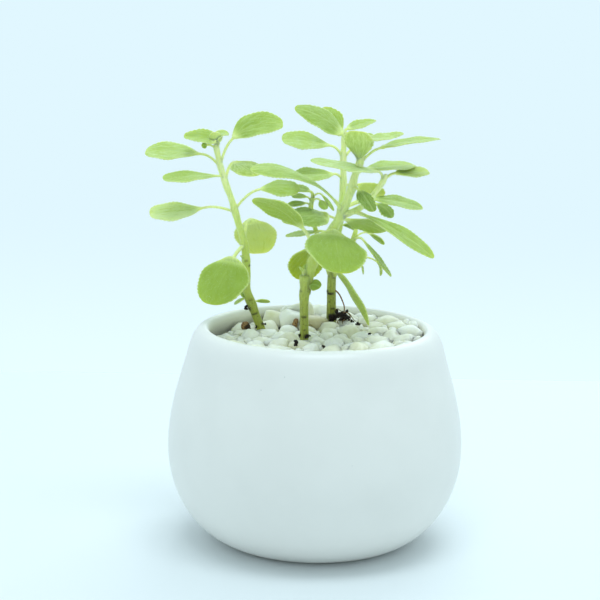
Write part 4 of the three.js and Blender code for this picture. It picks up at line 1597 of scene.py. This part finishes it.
@dataclass(frozen=True)
class Litter:
    """What lies on the gravel: two bark chips, a clod of soil with rootlets, and the back stem's root."""

    chips: tuple[Chip, ...] = (
        Chip("bark_chip_left", (-32, 20, 90.2), (2.6, 1.6, 1.5), 20, -15),
        Chip("bark_chip_middle", (-9.7, 21.0, 91.5), (1.0, 1.3, 2.0), 20, 96),
    )
    clod: Triple = (12.2, 22.0, 95.1)
    clod_half: Triple = (2.7, 4.3, 2.3)
    clod_tilt: float = 34.0
    rootlets: tuple[tuple[Triple, ...], ...] = (
        ((8.4, 24.6, 95.5), (8.3, 24.0, 97.3), (9.5, 23.6, 98.2), (11.2, 23.0, 97.2)),
        ((12.0, 22.0, 97.0), (14.6, 21.4, 96.6), (16.4, 21.0, 94.4), (17.7, 20.4, 93.2)),
        ((11.0, 22.0, 96.5), (13.4, 19.8, 97.4), (15.2, 19.4, 95.6), (15.0, 19.0, 93.6)),
        ((10.4, 22.0, 93.8), (9.5, 20.4, 92.9), (10.0, 19.6, 91.8)),
        ((12.8, 21.0, 94.0), (11.6, 18.8, 93.4), (12.0, 18.2, 92.2)),
    )
    rootlet_radius: float = 0.24
    rootlet_steps: int = 24
    root: tuple[Triple, ...] = (
        (6.5, 25, 107), (8.6, 24, 106.2), (10.9, 23.5, 103.7), (12.3, 23, 100), (12.3, 22.4, 96),
    )
    root_radius: float = 0.36
    root_steps: int = 60
    root_bend: float = 0.22
    seed: int = 3

    CLOD_GRID, CLOD_LEVEL = (44, 66), 0.72
    WRINKLES = ((0.44, 30, 4.5), (0.26, 40, 12.0))
    ROOTLET_SIDES, ROOTLET_THINNER, ROOTLET_CHAR = 8, 0.5, 0.3
    ROOT_SIDES, ROOT_FOOT, ROOT_THINNER, ROOT_CHAR = 12, 1.05, 0.35, 0.1
    BEND_WAY, BEND_PITCH = (0.6, 0.8, 0.2), 9
    RING_HEIGHT, RING_PITCH = 0.1, 60

    def ball(self, draws: np.random.Generator) -> Skin:
        """The clod: a ball with coarse and fine wrinkles, tilted and turned along Y."""
        rays = ball_rays(*self.CLOD_GRID)
        reach = wrinkled(self.CLOD_LEVEL, rays, draws, *self.WRINKLES)
        return lump(rays, reach, self.clod_half, (math.radians(self.clod_tilt), math.pi / 2), self.clod)

    def rootlet(self, knots: Sequence[Triple]) -> Skin:
        """One rootlet through its knots, half as thick at its end."""
        shares = np.linspace(0, 1, self.rootlet_steps)
        line = at_shares(smooth_line(knots), shares)
        radii = self.rootlet_radius * (1 - self.ROOTLET_THINNER * shares)
        return pipe(line, radii, self.ROOTLET_SIDES).tinted(charred=self.ROOTLET_CHAR)

    def long_root(self) -> Skin:
        """The back stem's root.

        Returns:
            A pipe that winds along its line by a sine wave, thins out evenly and has small rings.
        """
        shares = np.linspace(0, 1, self.root_steps)
        winding = self.root_bend * np.sin(self.BEND_PITCH * shares)[:, None] * np.array(self.BEND_WAY)
        rings = 1 + self.RING_HEIGHT * np.sin(self.RING_PITCH * shares)
        radii = self.root_radius * (self.ROOT_FOOT - self.ROOT_THINNER * shares) * rings
        line = at_shares(smooth_line(self.root), shares) + winding
        return pipe(line, radii, self.ROOT_SIDES).tinted(charred=self.ROOT_CHAR)

    def build(self, wood: Finish, soil: Finish) -> None:
        """Makes the chips, the clod with its rootlets, and the root.

        Args:
            wood: The material of bark and root.
            soil: The material of the clod.
        """
        draws = np.random.default_rng(self.seed)
        for chip in self.chips:
            piece(f"{chip.name}_bark", chip.skin(draws), wood, "bark", chip.name)
        piece("soil_clod_lump", self.ball(draws), soil, "soil", "soil_clod")
        piece("soil_clod_rootlets", joined([self.rootlet(knots) for knots in self.rootlets]), wood, "bark")
        piece("air_root", self.long_root(), wood, "bark", "plant_back")


# Scene


@dataclass(frozen=True)
class Studio:
    """The plain pale set, its soft light and the camera at the photograph's angle."""

    backdrop: Colour = shown(225, 247, 255)
    room: float = 0.79
    behind: Pair = (-0.5, 0.6)
    haze: float = 0.1
    horizon: Pair = (-0.13, -0.26)
    lamps: tuple[tuple[str, Triple, Pair, float], ...] = (
        ("top_light", (0.06, -0.26, 1.2), (0.8, 0.34), 5.1),
        ("back_light", (0.2, 0.75, 0.75), (0.7, 0.7), 2.4),
    )
    lamp_tint: Colour = shown(234, 249, 255)
    floor_front: float = -1200.0
    floor_back: float = 294.0
    floor_side: float = 1500.0
    eye: Triple = (-7.6, -686.9, 241.37)
    dip: float = 11.1
    roll: float = 1.0
    lens: float = 96.06
    sensor: float = 36.0
    clip: Pair = (0.01, 20.0)

    def build(self, paper: Finish) -> None:
        """Makes the floor, the world's even light, the lamps and the camera.

        Args:
            paper: The floor's material.
        """
        self.floor(paper)
        self.light()
        self.camera()
        bpy.context.scene.view_settings.view_transform = "Standard"

    def floor(self, paper: Finish) -> None:
        """A flat floor that ends where the photograph's table meets its backdrop.

        Args:
            paper: Its material.
        """
        across = np.array([-self.floor_side, self.floor_side])
        x, y = np.meshgrid(across, [self.floor_front, self.floor_back])
        points = np.stack([x, y, 0 * x], -1).reshape(-1, 3) * MM
        mesh = bpy.data.meshes.new("floor")
        mesh.from_pydata(points.tolist(), [], [[0, 1, 3, 2]])
        mesh.materials.append(paper)
        floor = stood("floor", mesh)

    def light(self) -> None:
        """A world with a pale backdrop, hazier at the horizon, before a dimmer room, and soft lamps above."""
        book = NodeBook(bpy.data.worlds.new("pale_room"))
        toward = book.node("ShaderNodeTexCoord").outputs["Generated"]
        behind = book.axis(1, toward).step(*self.behind)
        low = book.axis(2, toward).step(*self.horizon)
        strength = (self.room + (1 - self.room) * behind) * (1.0 + self.haze * low)
        glow = book.node("ShaderNodeBackground", inputs={"Color": self.backdrop, "Strength": strength})
        book.node("ShaderNodeOutputWorld", inputs={"Surface": glow.outputs[0]})
        bpy.context.scene.world = book.holder
        for name, spot, size, energy in self.lamps:
            lamp = bpy.data.lights.new(name, "AREA")
            lamp.shape, lamp.size, lamp.size_y = "RECTANGLE", *size
            lamp.energy, lamp.color = energy, self.lamp_tint
            hung = stood(name, lamp)
            hung.location = spot
            hung.rotation_euler = Vector(spot).to_track_quat("Z", "Y").to_euler()

    def camera(self) -> None:
        """The camera looks along +Y, dipped down, and its picture is turned a little clockwise."""
        dip, roll = math.radians(self.dip), math.radians(self.roll)
        ahead = np.array([0, math.cos(dip), -math.sin(dip)])
        level = np.array([1.0, 0, 0])
        rise = np.array([0, math.sin(dip), math.cos(dip)])
        right = level * math.cos(roll) + rise * math.sin(roll)
        up = rise * math.cos(roll) - level * math.sin(roll)
        eye = bpy.data.cameras.new("camera")
        eye.sensor_width, eye.lens = self.sensor, self.lens
        eye.clip_start, eye.clip_end = self.clip
        camera = stood("camera", eye)
        columns = np.stack([right, up, -ahead, np.array(self.eye) * MM], -1)
        camera.matrix_world = Matrix([*columns.tolist(), [0, 0, 0, 1]])
        bpy.context.scene.camera = camera


# The three plants


LEFT_STEM = Shoot(
    path=(
        (-22, 18, 64), (-23.5, 18, 84), (-27.8, 18, 97), (-31.4, 17.5, 107), (-31.6, 17, 116),
        (-32.8, 17, 128), (-35.7, 17, 138), (-38.3, 17, 147), (-41.3, 17, 155), (-43.8, 17, 163),
        (-46, 17, 173),
    ),
    girth=(2.15, 1.05),
    leaves=(
        Leaf(102, 350, (2.5, 10), (6.5, 4.5), (6, 10), roll=-30, tone=Tone.MID),
        Leaf(103, 195, (2.5, 30), (5.5, 4.5), (-15, 30), tone=Tone.MID),
        Leaf(101, 165, (1.5, 60), (6.5, 4), (48, 10), roll=-20, tone=Tone.MID),
        Leaf(121, 200, (1.6, 40), (1.8, 2.4), (40, 10), tone=Tone.FRESH),
        Leaf(128, 234, (9, -25), (25, 25.5), (-48, 1), roll=-7, cup=-6, tone=Tone.SOFT, form=(0.9, 0.7, 0.45),
             neck=0.85, streaks=0.3),
        Leaf(128, 75, (15, 87), (23.5, 19.5), (-27, 44), roll=-13, cup=-6, tone=Tone.SHADE_LIFT, moss=0.4,
             form=(0.95, 0.65, 0.35)),
        Leaf(142.5, 190, (14, 19), (24.5, 15), (-12, -12), roll=-24, cup=6, tone=Tone.SHADE_LIFT,
             form=(1.45, 0.8, 0.35)),
        Leaf(143.5, -1, (14.5, 54), (18, 12.5), (15, 28), roll=29, cup=-6, tone=Tone.FRESH,
             form=(1.4, 0.65, 0.4)),
        Leaf(154, 205, (6, 83), (26.5, 13), (3, 10), roll=-14, cup=6, tone=Tone.FRESH, form=(1.8, 0.7, 0.4)),
        Leaf(156, 64, (12.5, 67), (21.5, 14.5), (-6, 34), roll=-15, cup=-6, tone=Tone.PALE,
             form=(1.2, 0.85, 0.5)),
        Leaf(162, 173, (10.5, 50), (25.5, 15.5), (4, 6), roll=-24, cup=6, tone=Tone.PALE,
             form=(1.45, 0.8, 0.4)),
        Leaf(163, 11, (13, 76), (24.5, 16), (45, 58), roll=33, cup=6, tone=Tone.SOFT, form=(1.05, 0.8, 0.35)),
        Leaf(170, 200, (5.2, 44), (2.5, 2.8), (-10, 10), roll=-70, tone=Tone.MID, form=(1.0, 0.85, 0.4)),
        Leaf(171, 187, (3.5, 128), (14.5, 9.5), (14, 15), roll=-37, cup=20, tone=Tone.PALE,
             form=(0.6, 0.7, 0.4)),
        Leaf(171, 262, (1, 80), (6.5, 6), (72, 10), cup=12, tone=Tone.SHADE_LIFT, form=(1.2, 0.8, 0.45)),
        Leaf(172, 8, (1.5, 84), (7.5, 6.5), (88, 120), roll=24, cup=16, tone=Tone.PALE,
             form=(0.7, 0.85, 0.4)),
    ),
    wood=(90.0, 118.0),
    brown=0.25,
    marks=(
        Mark(96.8, 265, 0.5, 55), Mark(99.5, 205, 1.1, 38, 1.0), Mark(91.6, 330, 0.7, 30, 1.0),
        Mark(103.0, 290, 0.6, 30, 0.4), Mark(121.0, 275, 0.5, 24, 0.5), Mark(118.6, 330, 0.45, 22, 0.9),
    ),
)

CUT_STEM = Shoot(
    path=(
        (-5.5, -5, 64), (-5.5, -5, 91), (-5.8, -5.2, 106), (-5.8, -6.6, 119),
    ),
    girth=(1.9, 1.8),
    leaves=(
        Leaf(110, 345, (4.8, 80), (5.2, 6.4), (26, 60), roll=40, tone=Tone.MID, form=(0.9, 0.85, 0.4)),
        Leaf(117, 70, (4, 80), (3, 2.4), (70, 40), tone=Tone.BRIGHT),
        Leaf(117, 215, (3.5, 70), (3, 2.4), (80, 60), tone=Tone.BRIGHT),
    ),
    wood=(86.0, 132.0),
    brown=0.6,
    marks=(
        Mark(100.4, 268, 0.5, 42, 0.9), Mark(94.6, 272, 0.35, 16, 0.9), Mark(112.0, 215, 0.5, 30, 0.5),
        Mark(91.8, 320, 0.9, 60, 1.0), Mark(106.0, 340, 0.4, 20, 0.5),
    ),
    cut=True,
)

MIDDLE_STEM = Shoot(
    path=(
        (-5.3, -4.4, 110.5), (-2.1, -5.6, 125), (5.8, -8, 139), (10, -8, 147), (13.6, -8, 157),
        (14.7, -8, 162), (16.8, -8, 168), (17.7, -7.7, 174),
    ),
    girth=(2.15, 1.3),
    leaves=(
        Leaf(124.5, 101, (10, 84), (23.5, 16.5), (-34, 30), roll=2, cup=-6, tone=Tone.MID, moss=0.6),
        Leaf(128, 210, (13, 65), (29, 15.5), (48, 34), roll=22, cup=-6, tone=Tone.SOFT, neck=0.85),
        Leaf(128, 20, (9, -26), (33, 12.5), (-51, 13), cup=6, tone=Tone.FRESH, form=(1.0, 0.7, 0.6)),
        Leaf(138, 278, (3.5, 24), (28, 27), (-14, 31), roll=-9, cup=-6, tone=Tone.MID, form=(0.95, 0.7, 0.45),
             streaks=0.3),
        Leaf(139.5, 29, (7, 54), (21.5, 15), (-6, 24), roll=-22, cup=-6, tone=Tone.MID),
        Leaf(145.5, 340, (8.5, 22), (37.5, 10.5), (-17, 20), roll=18, cup=6, tone=Tone.SOFT, neck=1.05,
             form=(1.5, 0.85, 0.5)),
        Leaf(147, 202, (4, 56), (44.5, 13), (50, 57), roll=-20, cup=-6, tone=Tone.SOFT, neck=1.05,
             form=(2.3, 0.85, 0.5)),
        Leaf(157, 309, (4.5, 16), (13, 7.5), (-33, 12), roll=13, cup=-6, tone=Tone.DEEP,
             form=(0.95, 0.75, 0.4)),
        Leaf(158, 31, (10, 70), (25.5, 13.5), (3, 3), roll=10, cup=6, tone=Tone.FRESH),
        Leaf(168, 188, (14, 62), (24, 14.5), (48, 40), roll=-34, cup=-4, tone=Tone.SOFT,
             form=(0.9, 0.75, 0.5)),
        Leaf(167, 6, (11.5, 52), (26.5, 11.5), (16, 14), roll=6, cup=6, tone=Tone.SOFT,
             form=(0.95, 0.85, 0.7)),
        Leaf(167, 262, (2, 84), (15.5, 13), (70, 22), roll=-8, cup=8, tone=Tone.PALE, form=(1.45, 0.75, 0.42),
             streaks=0.6),
        Leaf(172, 345, (7.3, 110), (12, 10), (6, 4), roll=12, cup=10, tone=Tone.PALE, form=(0.9, 0.85, 0.6)),
        Leaf(173, 80, (3, 70), (10, 8), (30, 10), cup=10, tone=Tone.FRESH),
    ),
    wood=(112.0, 122.0),
)

MIDDLE_SIDE_SHOOT = Shoot(
    path=(
        (10, -8, 145), (18, -7, 149), (22, -5, 153), (26, -4, 158), (28.5, -4, 163),
    ),
    girth=(1.35, 1.0),
    leaves=(
        Leaf(160, 215, (5.3, 80), (35.5, 14), (8, -3), roll=-14, cup=6, tone=Tone.PALE),
        Leaf(159.5, 24, (7, 46), (16.5, 10), (1, 0), roll=22, cup=8, tone=Tone.PALE, moss=0.5,
             form=(1.1, 0.7, 0.4)),
    ),
    wood=(100.0, 101.0),
)

BACK_STEM = Shoot(
    path=(
        (6.5, 25, 64), (6.7, 25, 94), (6.6, 25, 112), (8, 24.5, 128), (10.2, 24, 145), (10.8, 23.5, 156),
        (10.5, 23, 166), (10.8, 23, 178),
    ),
    girth=(2.5, 1.05),
    leaves=(
        Leaf(131, 190, (9, 30), (15, 6.5), (-8, 0), roll=-10, cup=6, tone=Tone.PALE),
        Leaf(138, 216, (7, 34), (25, 16), (8, 20), roll=-24, cup=-4, tone=Tone.MID, form=(0.75, 0.85, 0.6)),
        Leaf(143.5, 5, (14.5, 32), (24, 13), (-4, 12), roll=16, cup=6, tone=Tone.MID),
        Leaf(143, 340, (17, 31), (10.5, 7.5), (-16, 40), roll=27, cup=-6, tone=Tone.DEEP,
             form=(1.35, 0.9, 0.55)),
        Leaf(135.5, 345, (2.4, 40), (6, 5.4), (0, 40), roll=-30, cup=6, tone=Tone.DEEP),
        Leaf(156, 201, (6, 60), (19, 12), (-2, -4), roll=-22, cup=6, tone=Tone.FRESH),
        Leaf(154.5, 22, (6.5, 4), (14.5, 9.5), (-6, 32), roll=-37, cup=-6, tone=Tone.SHADE_LIFT, moss=0.6,
             form=(1.2, 0.7, 0.45)),
        Leaf(166, 191, (8.5, 66), (22.5, 14.5), (12, 10), roll=-28, cup=6, tone=Tone.BRIGHT,
             form=(1.45, 0.75, 0.4)),
        Leaf(166.5, 10, (13, 51), (17.5, 9), (11, 0), roll=10, cup=6, tone=Tone.FRESH),
        Leaf(175, 158, (3, 84), (15, 14), (45, 10), roll=-30, cup=8, tone=Tone.FRESH),
        Leaf(177.5, 12, (2.4, 84), (14, 7.5), (20, 8), roll=22, cup=8, tone=Tone.PALE,
             form=(0.75, 0.85, 0.7)),
    ),
    wood=(92.0, 134.0),
    brown=1.0,
    marks=(
        Mark(105.2, 250, 0.6, 60, 1.0), Mark(106.0, 200, 0.7, 30, 1.0), Mark(98.4, 290, 0.5, 30, 0.8),
        Mark(94.8, 280, 1.4, 70, 1.0), Mark(101.4, 240, 0.4, 20, 0.7), Mark(112.5, 300, 0.4, 24, 0.5),
        Mark(117.0, 255, 0.4, 26, 0.4), Mark(128.6, 350, 1.0, 40, 1.0),
    ),
)

BACK_RIGHT_SHOOT = Shoot(
    path=(
        (6.5, 25, 112), (12.5, 21, 123), (15.5, 19.5, 130), (17, 19, 136),
    ),
    girth=(1.4, 0.9),
    leaves=(
        Leaf(120, 10, (16.8, 20), (7.2, 4.5), (-40, 70), tone=Tone.MID),
        Leaf(121.5, 352, (9.5, 14), (4.5, 3), (-75, 10), tone=Tone.MID),
        Leaf(131, 331, (5, 24), (21, 5.6), (-45, 4), roll=-4, cup=6, tone=Tone.MID),
        Leaf(131, 15, (8, 42), (9, 5), (-28, 18), roll=-20, cup=6, tone=Tone.MID),
    ),
    wood=(100.0, 101.0),
)

BACK_LEFT_SHOOT = Shoot(
    path=(
        (6.5, 25, 112), (3, 24, 122), (-2, 23, 137), (-3.5, 22, 144), (-2.5, 22, 150),
    ),
    girth=(1.3, 0.8),
    leaves=(
        Leaf(146, 194, (4, 80), (7, 4.5), (16, 30), roll=-20, tone=Tone.FRESH),
        Leaf(144, 319, (8, 78), (5.5, 5), (-36, 20), roll=12, cup=-6, tone=Tone.MID),
        Leaf(149, 146, (3, 90), (10.5, 6), (10, 6), roll=-20, cup=6, tone=Tone.PALE),
        Leaf(147, 345, (7, 75), (9, 3.5), (-44, 14), roll=8, tone=Tone.MID),
        Leaf(143.5, 200, (4, 80), (9, 5), (0, 10), roll=-20, cup=6, tone=Tone.MID),
    ),
    wood=(100.0, 101.0),
)

PLANTS = (
    Plant("plant_left", (LEFT_STEM,), seed=11),
    Plant("plant_middle", (CUT_STEM, MIDDLE_STEM, MIDDLE_SIDE_SHOOT), seed=12),
    Plant("plant_back", (BACK_STEM, BACK_RIGHT_SHOOT, BACK_LEFT_SHOOT), seed=13),
)

CRUMBS = Crumbs(
    (
        ((7.4, 22.8, 94.2), (2.2, 0.9, 1.3), 26, (0.35, 0.8)),
        ((9.0, 23.6, 97.0), (0.8, 0.6, 0.9), 8, (0.3, 0.6)),
        ((12.4, 21.4, 95.4), (3.8, 2.2, 2.5), 40, (0.3, 0.7)),
        ((15.6, 21.0, 93.2), (1.4, 1.0, 0.9), 10, (0.3, 0.6)),
        ((-4.2, -6.9, 92.1), (1.3, 0.4, 0.9), 14, (0.3, 0.6)),
        ((-7.5, -5.8, 91.9), (0.6, 0.4, 0.8), 7, (0.25, 0.5)),
        ((-9.0, -17.0, 91.0), (0.8, 0.4, 1.4), 30, (0.25, 0.5)),
        ((2.8, -20.5, 90.5), (0.7, 0.4, 0.8), 16, (0.25, 0.45)),
        ((18.3, 12.4, 93.6), (1.0, 0.5, 0.9), 22, (0.25, 0.5)),
        ((22.7, -6.8, 93.6), (0.9, 0.5, 0.3), 7, (0.25, 0.5)),
        ((-31.7, 16.6, 99.4), (0.7, 0.5, 1.3), 13, (0.3, 0.6)),
        ((-23.2, 17.0, 92.0), (0.5, 0.4, 0.5), 5, (0.25, 0.45)),
        ((-27.0, 16.0, 90.9), (0.4, 0.4, 0.6), 4, (0.25, 0.45)),
    )
)


def main() -> None:
    """Builds the set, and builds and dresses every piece."""
    logging.basicConfig(level=logging.INFO, format="%(name)s %(message)s")
    white, dark = StoneWhite().material(), SoilDark().material()
    brown, green, pale = WoodBrown().material(), LeafGreen().material(), DownPale().material()
    Studio().build(FloorWhite().material())
    Pot().build(PotGlaze().material())
    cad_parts["potting_soil"].material_slots[0].material = dark
    Gravel().build(white, dark, [plant.shoots[0] for plant in PLANTS])
    for plant in PLANTS:
        plant.build(green, pale)
    Litter().build(brown, dark)
    piece("soil_crumbs", CRUMBS.skin(), dark, "soil")


if __name__ == "__main__":
    main()
